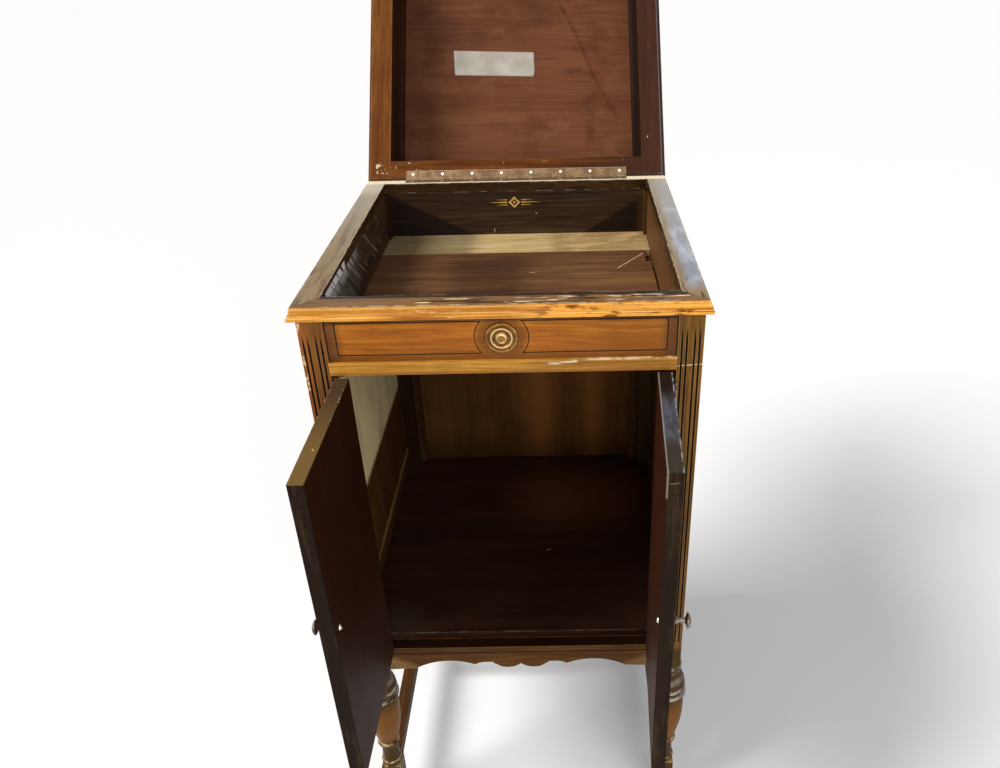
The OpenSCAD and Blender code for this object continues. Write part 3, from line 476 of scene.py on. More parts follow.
def leg_wood():
    """Golden ridges between dark flutes above; rings with painted grey highlights, with a little dust in
    them, and a golden vase below.
    The rear posts are nearly black where they face the compartment."""
    front_half = (FRONT_Y - 0.01, MIDDLE_Y)
    post_height = (APRON_TOP, CASE_TOP)
    turned = region(z=(0.10, APRON_TOP - 0.052))
    rings = region(z=(0.27, 0.345))
    vase = region(soft=0.02, z=(0.17, 0.26))
    lower_rings = region(z=(0.10, 0.17))
    ring_tops = any_of(near_arris(0.0025), facing("Z", 1, 0.3))
    outer = region(soft=0.002, x=(-POST_OUT_X - 0.01, -POST_OUT_X + 0.006), y=front_half,
                   z=(0.86, CASE_TOP))
    left_post = region(x=(-0.3, 0.0), y=front_half, z=post_height)
    warm_side = region(x=(-0.3, -POST_OUT_X + 0.012), y=front_half, z=post_height)
    scratch = line(at(0.2199, -0.251, 0.8881), at(0.2513, -0.251, 0.8903), 0.0008)
    below = beyond("Z", APRON_TOP - 0.01, -0.006)
    rear_half = region(soft=0.0004, y=(MIDDLE_Y, MIDDLE_Y + 0.3), z=post_height)
    toward_room = any_of(facing("Y", -1), region(soft=0.0004, x=(-POST_IN_X - 0.001, POST_IN_X + 0.001)))
    inside = both(rear_half, toward_room)
    inside_right = both(inside, beyond("X", 0.0, 0.001))
    marks = [
        (below, "38270a", 0.8),
        (vase, "764805", 0.85),
        # Painted highlights, with a little dust: pale grey on the upward faces and arrises of the upper
        # rings, tan on the lower rings.
        (speckled(both(rings, facing("Z", 1, 0.25)), 60.0, 0.55, sharp=0.12), "a8a298"),
        (speckled(both(rings, near_arris(0.0025)), 130.0, 0.5, sharp=0.15), "b9b2a6"),
        (speckled(both(lower_rings, ring_tops), 90.0, 0.55, sharp=0.15), "b39c72"),
        (speckled(both(turned, near_arris(0.0015)), 90.0, 0.4, sharp=0.1), "c39a5e"),
        (left_post, "8c4a20", 0.3),
        (warm_side, "b5642a", 0.35),
        (speckled(outer, 130.0, 0.32, (1.0, 1.0, 0.35), 0.05), "ecd2a4"),
        (scratch, "e0cca4"),
        (in_flute, "120a04"),
        (inside, "26150a", 0.92),
        (inside_right, "6b5530", 0.45),
    ]
    return wood("leg_walnut", ("35220a", "62441a", "8b6026"), "Z", worn="c3965a", wear=0.75, marks=marks,
                grime=0.2, roughness=0.3, specular=0.09)


def frieze_wood():
    """Golden in the middle of each field, dark in the incised lines and towards the borders; a painted
    shadow under the rim and painted shade round the rosette, whose tone also darkens the foot.
    """
    # Painted shadow: the band just under the rim's edge.
    painted_rim_shadow = region(z=(RIM_LOW - 0.009, RIM_LOW + 0.01))
    in_line = beyond("Y", FRIEZE_FACE + 0.0005, 0.0002)
    ends = outside(POST_IN_X - 0.016, 0.008)
    low = beyond("Z", FRIEZE_LOW + 0.010, -0.005)

    # Painted shade: a darker ring round the rosette; the same mark darkens the frieze's foot.
    def painted_rosette_shade(s, place):
        away = s.length(s.vector_math("SUBTRACT", place, ROSETTE))
        return s.band(away, 0.036, 0.026)

    right_side = beyond("X", 0.12, 0.09)
    seams = outside(POST_IN_X - 0.0016, 0.0004)
    marks = [(right_side, "6e420f", 0.45), (any_of(low, painted_rosette_shade), "54300f", 0.55),
             (ends, "4d2d12", 0.75), (painted_rim_shadow, "1d0f06", 0.85), (any_of(in_line, seams), "160b05", 0.92)]
    return wood("frieze_walnut", ("90500c", "b26616", "d28421"), "X", worn="d89a40", wear=0.3, grime=0.25,
                marks=marks, roughness=0.36, specular=0.2)


def head_rail_wood():
    """The rail over the doors: golden, duller at the right, chipped in one place."""
    low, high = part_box("head_rail")

    def on_rail(x, z):
        return Vector((x, HEAD_RAIL_FACE, z))

    chip = any_of(line(on_rail(0.058, 0.8966), on_rail(0.071, 0.8962), 0.0026),
                  line(on_rail(0.071, 0.8974), on_rail(0.093, 0.8986), 0.0022))
    under = beyond("Z", low.z + 0.0035, -0.001)
    right_side = beyond("X", 0.06, 0.1)
    top_line = both(beyond("Z", high.z - 0.0006, 0.0002), beyond("X", 0.10, 0.03))
    marks = [(right_side, "80501a", 0.6), (under, "8e4f1c", 0.6),
             (speckled(top_line, 70.0, 0.6, sharp=0.1), "ecd9ae", 0.8),
             (speckled(chip, 300.0, 0.8, sharp=0.15), "eee0c0")]
    return wood("head_rail_wood", ("935f1c", "bd8430", "dca449"), "X", worn="e6bc6c", grime=0.25,
                marks=marks, roughness=0.34, specular=0.15)


def rim_wood(way):
    """The moulding round the well: golden where the edge is rubbed bare, grey-brown on top with a painted
    blue-grey reflection on the right rail, dark inside.
    """

    def stretched(factor):
        return along(GRAINS[way], factor)

    top = beyond("Z", RIM_TOP - 0.0006, 0.0004)
    painted_sheen_right = both(beyond("X", WELL_X + 0.010, 0.008), beyond("Y", MIDDLE_Y - 0.205, 0.03))
    rear_left = both(top, beyond("Y", MIDDLE_Y + 0.19, 0.03), beyond("X", 0.0, -0.05))
    rear_half = beyond("Y", MIDDLE_Y + 0.05, 0.18)
    rear_end = beyond("Y", WELL_REAR_Y, 0.002)
    toward_well = region(soft=0.0003, x=(-WELL_X - 0.0006, WELL_X + 0.0006),
                         y=(FRONT_Y + 0.02, WELL_REAR_Y + 0.0006))
    chipped = region(soft=0.006, x=(-0.10, 0.25), y=(MIDDLE_Y - 0.251, MIDDLE_Y - 0.222))
    face = region(soft=0.001, z=(RIM_LOW, RIM_TOP - 0.001))
    upper_left = both(region(soft=0.002, z=(RIM_TOP - 0.010, RIM_TOP - 0.001)), beyond("X", 0.08, -0.08))
    bare_right = both(face, beyond("X", 0.04, 0.05))
    well_side = {"across": {"x": (-WELL_X, WELL_X)}, "deep": {"y": (WELL_FRONT_Y, WELL_REAR_Y)}}
    between_mitres = region(**well_side[way])
    bare_strip = region(soft=0.001, x=(-WELL_X - 0.002, -WELL_X + 0.001),
                        y=(WELL_FRONT_Y - 0.01, MIDDLE_Y - 0.09), z=(RIM_LOW - 0.002, RIM_LOW + 0.011))
    top_tone = {"across": "745434", "deep": "857558"}[way]
    rubbed_arris = both(top, between_mitres, near_arris(0.005))
    inner_arris = both(toward_well, near_arris(0.003))
    marks = [
        (speckled(face, 50.0, 0.22, stretched(0.08), 0.1), "985618"),
        (speckled(face, 80.0, 0.2, stretched(0.2), 0.05), "f3c27c"),
        (upper_left, "8a5a2c", 0.3),
        (bare_right, "ffb552", 0.5),
        (speckled(bare_right, 110.0, 0.42, stretched(0.22), 0.05), "824713"),
        (top, top_tone, 0.95),
        (speckled(top, 60.0, 0.3, stretched(0.1), 0.15), "63492f"),
        (speckled(top, 240.0, 0.25, stretched(0.1), 0.08), "57432e"),
        # Painted reflection: a blue-grey sheen over the top of the right rail, in patches.
        (both(top, painted_sheen_right), "8a96a8", 0.68),
        (speckled(both(top, painted_sheen_right), 22.0, 0.35, stretched(0.4), 0.12), "cdd6e4", 0.6),
        (both(top, rear_half), "aca597", 0.6),
        (rear_left, "d8cfba", 0.5),
        (both(top, rear_end), "f0e2c2", 0.9),
        (speckled(both(top, chipped), 120.0, 0.36, stretched(0.1), 0.05), "25170d"),
        (speckled(both(top, chipped), 210.0, 0.30, stretched(0.1)), "e4cfa4"),
        (speckled(rubbed_arris, 260.0, 0.48, stretched(0.3)), "ddc9a2"),
        (toward_well, "20140d", 0.95),
        (speckled(inner_arris, 170.0, 0.45, stretched(0.3), 0.04), "cfc6b4"),
        (slashes(bare_strip, 0.9, 45.0, 0.7, 0.03), "ffffff"),
    ]
    return wood(f"rim_wood_{way}", ("bd731b", "de9634", "f5b557"), GRAINS[way], marks=marks, worn="f9cf80",
                wear=0.6, wear_width=0.003, coat=0.03, roughness=0.34, specular=0.08)


def well_wood(way):
    """Walls of the well: nearly black, with the left wall rubbed pale by what was lifted out, painted
    shadows at both sides of the rear wall and a painted pool of light low on the right wall.
    """
    left_wall = region(soft=0.006, x=(-WELL_X - 0.02, -WELL_X + 0.001),
                       y=(MIDDLE_Y - 0.22, MIDDLE_Y + 0.15), z=(WELL_FLOOR + 0.02, RIM_TOP))
    upper = both(left_wall, beyond("Z", RIM_TOP - 0.030, 0.008))
    front_part = both(left_wall, beyond("Y", MIDDLE_Y - 0.03, -0.05))
    splinter = line(at(-WELL_X, 0.221, 0.976), at(-WELL_X, 0.222, 0.900), 0.0028)
    bare_patch = region(soft=0.003, x=(-0.212, -0.165), y=(MIDDLE_Y + 0.228, MIDDLE_Y + 0.26),
                        z=(RIM_TOP - 0.012, RIM_TOP + 0.01))
    # Painted light: a lighter zone low on the right wall.
    painted_light_low_right = region(soft=0.02, x=(WELL_X - 0.004, WELL_X + 0.02), z=(WELL_FLOOR - 0.01, RIM_TOP - 0.02))
    rear = region(soft=0.002, y=(WELL_REAR_Y - 0.002, WELL_REAR_Y + 0.02))
    corner_strip = both(rear, region(soft=0.0015, x=(WELL_X - 0.005, WELL_X - 0.001)))
    # Painted shadows: dark triangles at both sides of the rear wall, under slanting lines.
    shaded = both(rear, any_of(below_slope(-0.511, 0.8487), below_slope(0.6145, 0.8169)))
    flecks = any_of(line(at(0.0322, 0.236, 0.924), at(0.0342, 0.236, 0.9235), 0.0012),
                    line(at(-0.0405, 0.236, 0.897), at(-0.0405, 0.236, 0.891), 0.0007))
    marks = [
        (shaded, "120b0a", 0.75),
        (front_part, "191713", 0.6),
        (slashes(front_part, 1.1, 34.0, 0.66, 0.1), "77766b"),
        (slashes(left_wall, 1.3, 70.0, 0.28), "8f8b80"),
        (slashes(both(upper, front_part), 0.9, 42.0, 0.62, 0.03), "ffffff"),
        (splinter, "a39a80"),
        (speckled(bare_patch, 150.0, 0.5, sharp=0.08), "c77f35"),
        (painted_light_low_right, "7e532f", 0.8),
        (corner_strip, "8f6d48", 0.6),
        (flecks, "d5c9b2"),
    ]
    return wood(f"well_wood_{way}", ("21150d", "3b2a1c", "523d28"), GRAINS[way], marks=marks, worn="3a2a1d",
                wear=0.4, grime=0.4, specular=0.12)


def board_wood():
    """The well's floor: brown, with a painted shadow left of its middle, scratched at the right."""
    # Painted shadow left of the middle of the board.
    painted_shadow_zone = region(soft=0.03, x=(-0.10, 0.02), y=(MIDDLE_Y - 0.25, MIDDLE_Y + 0.13))
    scratches = lines(WELL_FLOOR, (0.1646, 0.0727, 0.2096, 0.1342, 0.0008),
                      (0.2120, 0.105, 0.2290, 0.108, 0.0006), (0.0250, 0.060, 0.0340, 0.062, 0.0006))
    marks = [(painted_shadow_zone, "2a180d", 0.55), (scratches, "d8cdb8")]
    return wood("well_board_wood", ("4d3020", "67452c", "7d5a3a"), "X", worn="95734c", wear=0.4,
                marks=marks, specular=0.08)


def ledge_wood():
    """Bare board at the rear of the well, with painted shade: grey at the left and tan at the right."""
    # Painted shade: grey at the left and tan at the right; the middle is left lighter.
    greyed_part = beyond("X", -0.07, -0.02)
    painted_tan_shade = beyond("X", 0.06, 0.012)
    marks = [(greyed_part, "544a3a", 0.62), (painted_tan_shade, "80613a", 0.55),
             (speckled(painted_tan_shade, 60.0, 0.4, (0.4, 1.0, 1.0), 0.1), "b99b6c")]
    return wood("ledge_wood", ("9a8157", "bda16d", "d6c092"), "X", pores=0.5, grime=0.15, specular=0.1,
                roughness=0.65, marks=marks, worn="e3d2a8")


def cleat_wood():
    return wood("inner_wood_deep", ("3a1f0e", "5c361b", "7a4c28"), "Y", grime=0.35, specular=0.12,
                roughness=0.5)


def back_wood():
    """The back, with two broad lighter bands at the right of its inner face."""
    inner_face = beyond("Y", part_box("back_panel")[0].y + 0.001, -0.0004)
    bands = any_of(region(soft=0.03, x=(0.01, 0.05)), region(soft=0.025, x=(0.11, 0.15)))
    foot = beyond("Z", FLOOR_TOP + 0.04, -0.04)
    dim = both(inner_face, beyond("X", -0.05, -0.08))
    marks = [(dim, "28160a", 0.5), (both(inner_face, bands), "b5743a", 0.6),
             (both(inner_face, foot), "231108", 0.6)]
    return wood("back_panel_wood", ("68401a", "7a4f24", "8b5e2e"), "Z", figure=9.0, grime=0.4, marks=marks,
                specular=0.08, roughness=0.5)


def panel_wood():
    """Side panels, dark inside, with a cream band high up inside on the left."""
    inner_left = region(soft=0.0005, x=(-PANEL_X - 0.003, -PANEL_X + 0.003))
    inner_right = region(soft=0.0005, x=(PANEL_X - 0.003, PANEL_X + 0.003))
    cream_upper = both(inner_left, beyond("Z", 0.593, 0.008))
    marks = [(any_of(inner_left, inner_right), "2a160a", 0.45), (cream_upper, "f4e0aa"),
             (speckled(cream_upper, 30.0, 0.3, (1.0, 1.0, 0.2), 0.15), "cdb98c")]
    return wood("side_panel_wood", ("46270f", "6b421d", "8a5c2a"), "Z", marks=marks, worn="b07c42",
                wear=0.3, specular=0.15)


def side_batten_wood():
    """Strips along the sides of the floor: pale on top, with painted shade at the wall and on the upright
    faces.
    """
    low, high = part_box("side_battens")
    # Painted shade on the upright faces and next to the wall, leaving a thin lit edge on top.
    face = any_of(facing("X", 1), facing("X", -1))
    painted_shade_at_wall = any_of(beyond("X", high.x - 0.009, 0.001), beyond("X", low.x + 0.009, -0.001))
    return wood("side_batten_wood", ("7a5a34", "a37a44", "c29a5c"), "Y", specular=0.08, roughness=0.65,
                marks=[(face, "2a170b", 0.9), (painted_shade_at_wall, "4a3016", 0.55)])


def back_batten_wood():
    """Upright strips in the rear corners, the right one lighter."""
    right_one = beyond("X", 0.0, 0.01)
    return wood("back_batten_wood", ("33200f", "452c16", "573a1e"), "Z", specular=0.06, roughness=0.65,
                marks=[(right_one, "7d5f34", 0.35)])


def floor_wood():
    """The compartment's floor: nearly black and red, lighter at the right rear, dusty at the front left."""
    lighter = region(soft=0.07, x=(0.0, 0.22), y=(MIDDLE_Y + 0.03, MIDDLE_Y + 0.18))
    greyed_part = region(soft=0.03, x=(-0.23, -0.16), y=(MIDDLE_Y - 0.26, MIDDLE_Y - 0.18))
    edge = both(region(soft=0.0006, y=(FLOOR_FRONT - 0.001, FLOOR_FRONT + 0.0012)),
                beyond("Z", FLOOR_TOP - 0.0012, 0.0004))
    fleck = lines(FLOOR_TOP, (0.0400, -0.044, 0.0470, -0.041, 0.0010))
    front_half = beyond("Y", MIDDLE_Y - 0.02, -0.1)
    marks = [(front_half, "170a06", 0.35), (lighter, "70432a", 0.75), (greyed_part, "4d4036", 0.4),
             (facing("Y", -1), "2c120b", 0.5), (speckled(edge, 60.0, 0.5, sharp=0.15), "5c5040"),
             (fleck, "b7a389")]
    return wood("compartment_floor_wood", ("2c1911", "3b2217", "4a2d1f"), "X", specular=0.1, roughness=0.45,
                pores=0.25, marks=marks)


def apron_wood():
    """Brown, paler along its sloping ends; its top edge is as dark as the floor above it."""
    top = facing("Z", 1)
    lip = both(region(soft=0.0004, z=(APRON_TOP - 0.0128, APRON_TOP - 0.0104)), facing("Y", -1, -0.5))
    slope = 0.469
    middle_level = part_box("apron_ears")[1].z + 0.008 - slope * POST_IN_X
    ends = any_of(below_slope(-slope, middle_level), below_slope(slope, middle_level))
    marks = [(ends, "6f5128", 0.7), (top, "25120a", 0.95), (lip, "140a05", 0.9)]
    return wood("apron_wood", ("381d05", "55330c", "724812"), "X", worn="a87c42", marks=marks,
                specular=0.08)


def ear_wood():
    """The blocks under the apron's sloping ends: light, dark on top."""
    return wood("ear_wood", ("54391a", "70522b", "8a683a"), "Z", worn="b08b58", specular=0.15,
                marks=[(facing("Z", 1), "25120a", 0.9)])


SKIN, SKIN_SOFT = 0.0008, 0.0004        # how deep a door's face keeps its own tone


def top_edge(low, high):
    """The top of a closed door and the arrises along it: (top, inner arris, outer arris)."""
    top = beyond("Z", high.z - SKIN, SKIN_SOFT)
    inner_arris = both(top, region(soft=0.0006, y=(high.y - 0.0016, high.y + 0.001)))
    outer_arris = both(top, region(soft=0.0006, y=(low.y - 0.001, low.y + 0.0016)))
    return top, inner_arris, outer_arris


def door_wood(side, turn, top_tone, inner_tone, marks):
    """Outside like the case, inside nearly black and red with a painted grey sheen low down; the top edge
    has a tone of its own.
    """
    low, high = closed_box(f"{side}_door", turn)
    inside = beyond("Y", high.y - SKIN, SKIN_SOFT)
    free = {"left": beyond("X", high.x - SKIN, SKIN_SOFT),
            "right": beyond("X", low.x + SKIN, -SKIN_SOFT)}[side]
    top = top_edge(low, high)[0]
    # Painted reflection: a greyer sheen low on the inner face.
    painted_low_sheen = both(inside, beyond("Z", low.z + 0.17, -0.09))
    rail_joint = both(region(soft=0.0003, z=(high.z - 0.0306, high.z - 0.0298)), any_of(free, inside))
    edge_marks = [
        (inside, inner_tone, 0.96), (painted_low_sheen, "3a2823", 0.35),
        (free, "150e0a", 0.96), (speckled(free, 90.0, 0.25, (1.0, 1.0, 0.15), 0.1), "33261b"),
        (rail_joint, "080403", 0.8), (top, top_tone, 0.95),
    ]
    return wood(f"{side}_door_wood", ("43260f", "6d451f", "90632f"), "Z", turn=turn,
                marks=edge_marks + marks, worn="8d6c42", wear=0.4, wear_width=0.0015, specular=0.04,
                grime=0.4)


def left_door_wood():
    """The left door's top has lost its finish but for the hinge's end."""
    low, high = closed_box("left_door", LEFT_DOOR)
    top, inner_arris, outer_arris = top_edge(low, high)
    hinge_end = both(top, beyond("X", low.x + 0.10, -0.08))
    spot = at(-0.0596, -0.2378, high.z)
    step = Vector((0.0012, 0, 0))
    marks = [(hinge_end, "37281e", 0.8), (speckled(outer_arris, 120.0, 0.35, sharp=0.1), "a3845a"),
             (speckled(both(inner_arris, hinge_end), 150.0, 0.3, sharp=0.05), "aaa294"),
             (line(spot - step, spot + step, 0.0014), "e0b53e")]
    return door_wood("left", LEFT_DOOR, "6b542f", "240d06", marks)


def right_door_wood():
    """The right door's top is black with a painted grey sheen; a hair lies on its free edge."""
    low, high = closed_box("right_door", RIGHT_DOOR)
    top, inner_arris, outer_arris = top_edge(low, high)
    # Painted reflection: a grey sheen partway along the top.
    painted_sheen = region(soft=0.02, x=(low.x + 0.06, low.x + 0.16))
    front_half = beyond("X", low.x + 0.07, -0.03)
    free_arris = both(region(soft=0.0008, x=(low.x - 0.001, low.x + 0.0018),
                             y=(high.y - 0.002, high.y + 0.001)), beyond("Z", high.z - 0.035, 0.003))
    curl_start = Vector((low.x, low.y + 0.004, high.z - 0.014))
    curl = line(curl_start, Vector((low.x, high.y - 0.004, high.z - 0.016)), 0.0007)
    marks = [(both(top, front_half), "3b342b", 0.7),
             (speckled(both(top, painted_sheen), 30.0, 0.55, (0.3, 1.0, 1.0), 0.15), "565963"),
             (inner_arris, "a9a6a2", 0.4), (speckled(outer_arris, 100.0, 0.5, sharp=0.1), "8f8f93"),
             (free_arris, "94886f", 0.6), (curl, "8f7f6c", 0.6)]
    return door_wood("right", RIGHT_DOOR, "15110f", "2d140a", marks)


def lid_wood(part, way):
    """Warm on the left and dark on the right; inside, the lid's own walls are nearly black with painted
    shadow, and the right outer arris has a painted blue-grey reflection.
    """
    right = beyond("X", 0.12, 0.1)
    between_walls = region(soft=0.0005, x=(-LID_SIDE_X - 0.001, LID_SIDE_X + 0.001),
                           y=(LID_FRONT_Y - 0.001, LID_REAR_Y + 0.001))
    # Painted shadow: the lid's own walls, seen from inside, darkened nearly to black.
    inside = both(between_walls, beyond("Z", LID_UNDER + 0.004, 0.002))
    # Painted reflection: blue-grey light along the right outer arris.
    painted_arris_reflection = both(near_arris(0.002), beyond("X", RIM_OUT_X - 0.016, 0.002))
    under = (LID_UNDER - 0.01, LID_UNDER + 0.002)
    corner = at(-0.236, 0.236, LID_UNDER)
    worn_corner = region(soft=0.001, x=(corner.x - 0.006, corner.x + 0.014),
                         y=(corner.y - 0.01, corner.y + 0.01), z=under)
    marks = [(right, "311f1c", 0.78), (inside, "1d110d", 0.85), (painted_arris_reflection, "99a2b0", 0.6),
             (speckled(worn_corner, 170.0, 0.36, sharp=0.02), "cdbb98"),
             (speckled(region(z=under), 75.0, 0.02, sharp=0.01), "c9b592")]
    return wood(f"lid_{part}_{way}_wood", ("4b260b", "683a15", "7e4e22"), GRAINS[way], turn=LID,
                worn="a77a4a", wear=0.4, marks=marks, specular=0.05)


def lid_panel_wood():
    """The lid's top board: red-brown, with soft smears and darker veins."""
    whole = region(x=(-0.3, 0.3))
    veins = region(soft=0.06, x=(0.02, 0.2))
    under = closed_box("lid_top", LID)[0].z
    trailing_stain = lines(under,
                           (0.082, -0.116, 0.115, -0.046, 0.005), (0.115, -0.046, 0.139, 0.023, 0.005),
                           (0.139, 0.023, 0.163, 0.071, 0.005), (0.163, 0.071, 0.183, 0.112, 0.007))
    side_stains = lines(under, (0.083, 0.020, 0.120, 0.010, 0.008), (0.118, 0.085, 0.150, 0.060, 0.010),
                        (0.134, 0.095, 0.132, 0.165, 0.011))
    round_stain = lines(under, (-0.122, 0.080, -0.104, 0.080, 0.021))
    marks = [(speckled(whole, 9.0, 0.28, sharp=0.1), "3f2216", 0.4),
             (speckled(veins, 26.0, 0.3, (0.5, 1.6, 1.0), 0.06), "44271a", 0.3),
             (speckled(whole, 14.0, 0.2, sharp=0.1), "84573e", 0.35),
             (speckled(trailing_stain, 30.0, 0.75, sharp=0.2), "3a1e12", 0.45),
             (speckled(side_stains, 22.0, 0.6, sharp=0.2), "3a1e12", 0.35),
             (round_stain, "46230f", 0.3)]
    return wood("lid_panel_wood", ("5f3623", "6a402a", "744930"), "X", turn=LID, marks=marks, specular=0.05,
                pores=0.12, grime=0.25)


def rosette_bronze():
    """Bright rings with dirt in the grooves between them and painted highlights on the crests."""
    low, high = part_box("rosette")
    reach = (high.x - low.x) / 2

    def rings(*sizes):
        return any_of(*[ring(ROSETTE, radius * reach, width * reach) for radius, width in sizes])

    grooves = rings((0.76, 0.06), (0.46, 0.07), (0.0, 0.09))
    # Painted highlights on the crests of the rings.
    painted_crest_highlights = rings((0.62, 0.06), (0.28, 0.07))
    return metal("rosette_bronze", "bd9252", "8d6534", roughness=0.34, spots=60.0, patina=0.6,
                 marks=[(grooves, "4a2f14", 0.75), (painted_crest_highlights, "f4d9a6", 0.6)])


def tape_paper():
    """Crumpled paper, grey with age."""
    s = Shader(bpy.data.materials.new("paper_tape"))
    own = s.shifted(s.place(LID))
    crumple = s.noise(own, 25.0, 3.0, 0.5)
    fibre = s.noise(own, 900.0, 2.0)
    colour = s.mix(s.band(crumple, 0.3, 0.7), tone("a29b8f"), tone("b9b3a8"))
    height = s.plus(crumple, s.times(fibre, 0.1))
    return s.finish(colour, 0.5, height, 0.0004, specular=0.3)


def gilt_leaf():
    """Thin gold, rubbed through in small spots."""
    s = Shader(bpy.data.materials.new("gilt_transfer"))
    own = s.shifted(s.place())
    rubbed = s.band(s.noise(own, 420.0, 4.0, 0.65), 0.5, 0.66)
    colour = s.mix(rubbed, tone("e2b65c"), tone("8a662c"))
    return s.finish(colour, s.plus(0.35, s.times(rubbed, 0.3)), rubbed, 0.00002)


# ---- pieces ----

ARRIS_WIDTH = 0.0008
LEAST_BEND, LEAST_LENGTH = math.radians(30), 0.012      # of an edge that gets rounded
FLAT_WITHIN = math.radians(0.5)
SMOOTH_WITHIN = math.radians(40)


def body_of(node):
    return NODES[node]["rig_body"]


def in_scene(name, data):
    """A new object in the scene."""
    thing = bpy.data.objects.new(name, data)
    bpy.context.scene.collection.objects.link(thing)
    return thing


def show(piece, body, slot, *nodes):
    """The piece moves with a body and stands for these CAD nodes; slot is not used."""
    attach(piece, body)
    if nodes:
        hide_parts(*nodes)


def mesh_from(form, name, material):
    """A mesh of one material; the form is used up."""
    mesh = bpy.data.meshes.new(name)
    form.to_mesh(mesh)
    form.free()
    mesh.materials.clear()
    mesh.materials.append(material)
    return mesh


def eased(node, material, slot):
    """A CAD node's own shape with its long arrises rounded, shown in the node's place."""
    form = bmesh.new()
    form.from_mesh(NODES[node].data)
    bmesh.ops.remove_doubles(form, verts=form.verts, dist=1e-6)
    bmesh.ops.dissolve_limit(form, angle_limit=FLAT_WITHIN, verts=form.verts, edges=form.edges)
    long_edges = [edge for edge in form.edges if edge.is_manifold and edge.calc_length() > LEAST_LENGTH]
    arrises = [edge for edge in long_edges if edge.calc_face_angle() > LEAST_BEND]
    bmesh.ops.bevel(form, geom=arrises, offset=ARRIS_WIDTH, segments=2, profile=0.5, affect="EDGES",
                    clamp_overlap=True)
    mesh = mesh_from(form, f"{node}_eased", material)
    mesh.shade_smooth()
    mesh.set_sharp_from_angle(angle=SMOOTH_WITHIN)
    piece = in_scene(f"{node}_eased", mesh)
    piece.modifiers.new("flat faces stay flat", "WEIGHTED_NORMAL").keep_sharp = True
    show(piece, body_of(node), slot, node)


def dressed(nodes, material):
    """CAD nodes whose shape is right as it is get a material."""
    for node in nodes:
        mesh = NODES[node].data
        mesh.materials.clear()
        mesh.materials.append(material)


WALNUT, EDGE = "stained_walnut", "worn_edge_wood"       # slots of the record
DARK, RED, RAW = "dark_interior_wood", "red_interior_wood", "raw_wood"


def dress_cabinet():
    rows = [
        (["rim_front", "rim_rear"], rim_wood("across"), EDGE),
        (["rim_left", "rim_right"], rim_wood("deep"), EDGE),
        (["front_left_leg", "front_right_leg", "rear_left_leg", "rear_right_leg"], leg_wood(), WALNUT),
        (["frieze_panel"], frieze_wood(), WALNUT),
        (["head_rail"], head_rail_wood(), EDGE),
        (["left_side_panel", "right_side_panel"], panel_wood(), WALNUT),
        (["back_panel"], back_wood(), RED),
        (["left_side_rail", "right_side_rail"], case_wood("deep"), WALNUT),
        (["rear_rail"], case_wood("across"), WALNUT),
        (["well_wall_front", "well_wall_rear"], well_wood("across"), DARK),
        (["well_wall_left", "well_wall_right"], well_wood("deep"), DARK),
        (["well_board_front"], board_wood(), DARK),
        (["well_board_rear"], ledge_wood(), RAW),
        (["shelf_cleats"], cleat_wood(), RAW),
        (["compartment_floor"], floor_wood(), RED),
        (["side_battens"], side_batten_wood(), RAW),
        (["back_battens"], back_batten_wood(), RAW),
        (["left_stretcher", "right_stretcher"], stretcher_wood("deep"), WALNUT),
        (["cross_stretcher"], stretcher_wood("across"), WALNUT),
    ]
    for nodes, material, slot in rows:
        for node in nodes:
            eased(node, material, slot)
    dressed(["front_apron"], apron_wood())
    dressed(["apron_ears"], ear_wood())
    dressed(["rosette"], rosette_bronze())


def dress_lid():
    woods = {(part, way): lid_wood(part, way) for part in ("rail", "side") for way in ("across", "deep")}
    for side, way in (("front", "across"), ("rear", "across"), ("left", "deep"), ("right", "deep")):
        for part in ("rail", "side"):
            eased(f"lid_{part}_{side}", woods[part, way], WALNUT)
    eased("lid_cove", woods["rail", "across"], WALNUT)
    eased("lid_top", lid_panel_wood(), RED)


def dress_doors():
    eased("left_door", left_door_wood(), WALNUT)
    eased("right_door", right_door_wood(), WALNUT)


def dress_hardware():
    # The near-white edge on the hinge brass is a painted highlight, over the metal's own worn bright edges.
    brass = metal("hinge_brass", "887052", "735a42", roughness=0.45, spots=40.0, patina=0.6,
                  marks=[(near_arris(0.0008), "fff3d8", 0.6)])
    steel = metal("screw_nickel", "f4f0e6", "b0a898", roughness=0.3, patina=0.3)
    pewter = metal("knob_bronze", "8d8479", "4f4740", roughness=0.3)
    dressed([node for node in NODES if any(word in node for word in ("leaf", "leaves", "pin"))], brass)
    dressed([node for node in NODES if "screw" in node], steel)
    dressed(["left_knob", "right_knob"], pewter)


# ---- blank tape on the lid and gilt ornament in the well ----

TAPE_CORNERS = ((-0.1192, -0.1134), (0.0305, -0.1070), (0.0324, -0.0586), (-0.1166, -0.0641))
TAPE_LIFT = 0.0002
TAPE_THICKNESS = 0.00015
TAPE_COLUMNS, TAPE_ROWS = 60, 16
TEAR, RIPPLE, LOST_CORNER = 0.0012, 0.0008, 0.006


def torn(up, right_end):
    """How far an end of the tape reaches past its corners; up runs from 0 to 1 along that end."""
    reach = TEAR * noise.noise(Vector((0.0, up * 9, 3.0 if right_end else 8.0)))
    if right_end:
        reach -= LOST_CORNER * max(0.0, (up - 0.75) / 0.25) ** 2
    return reach


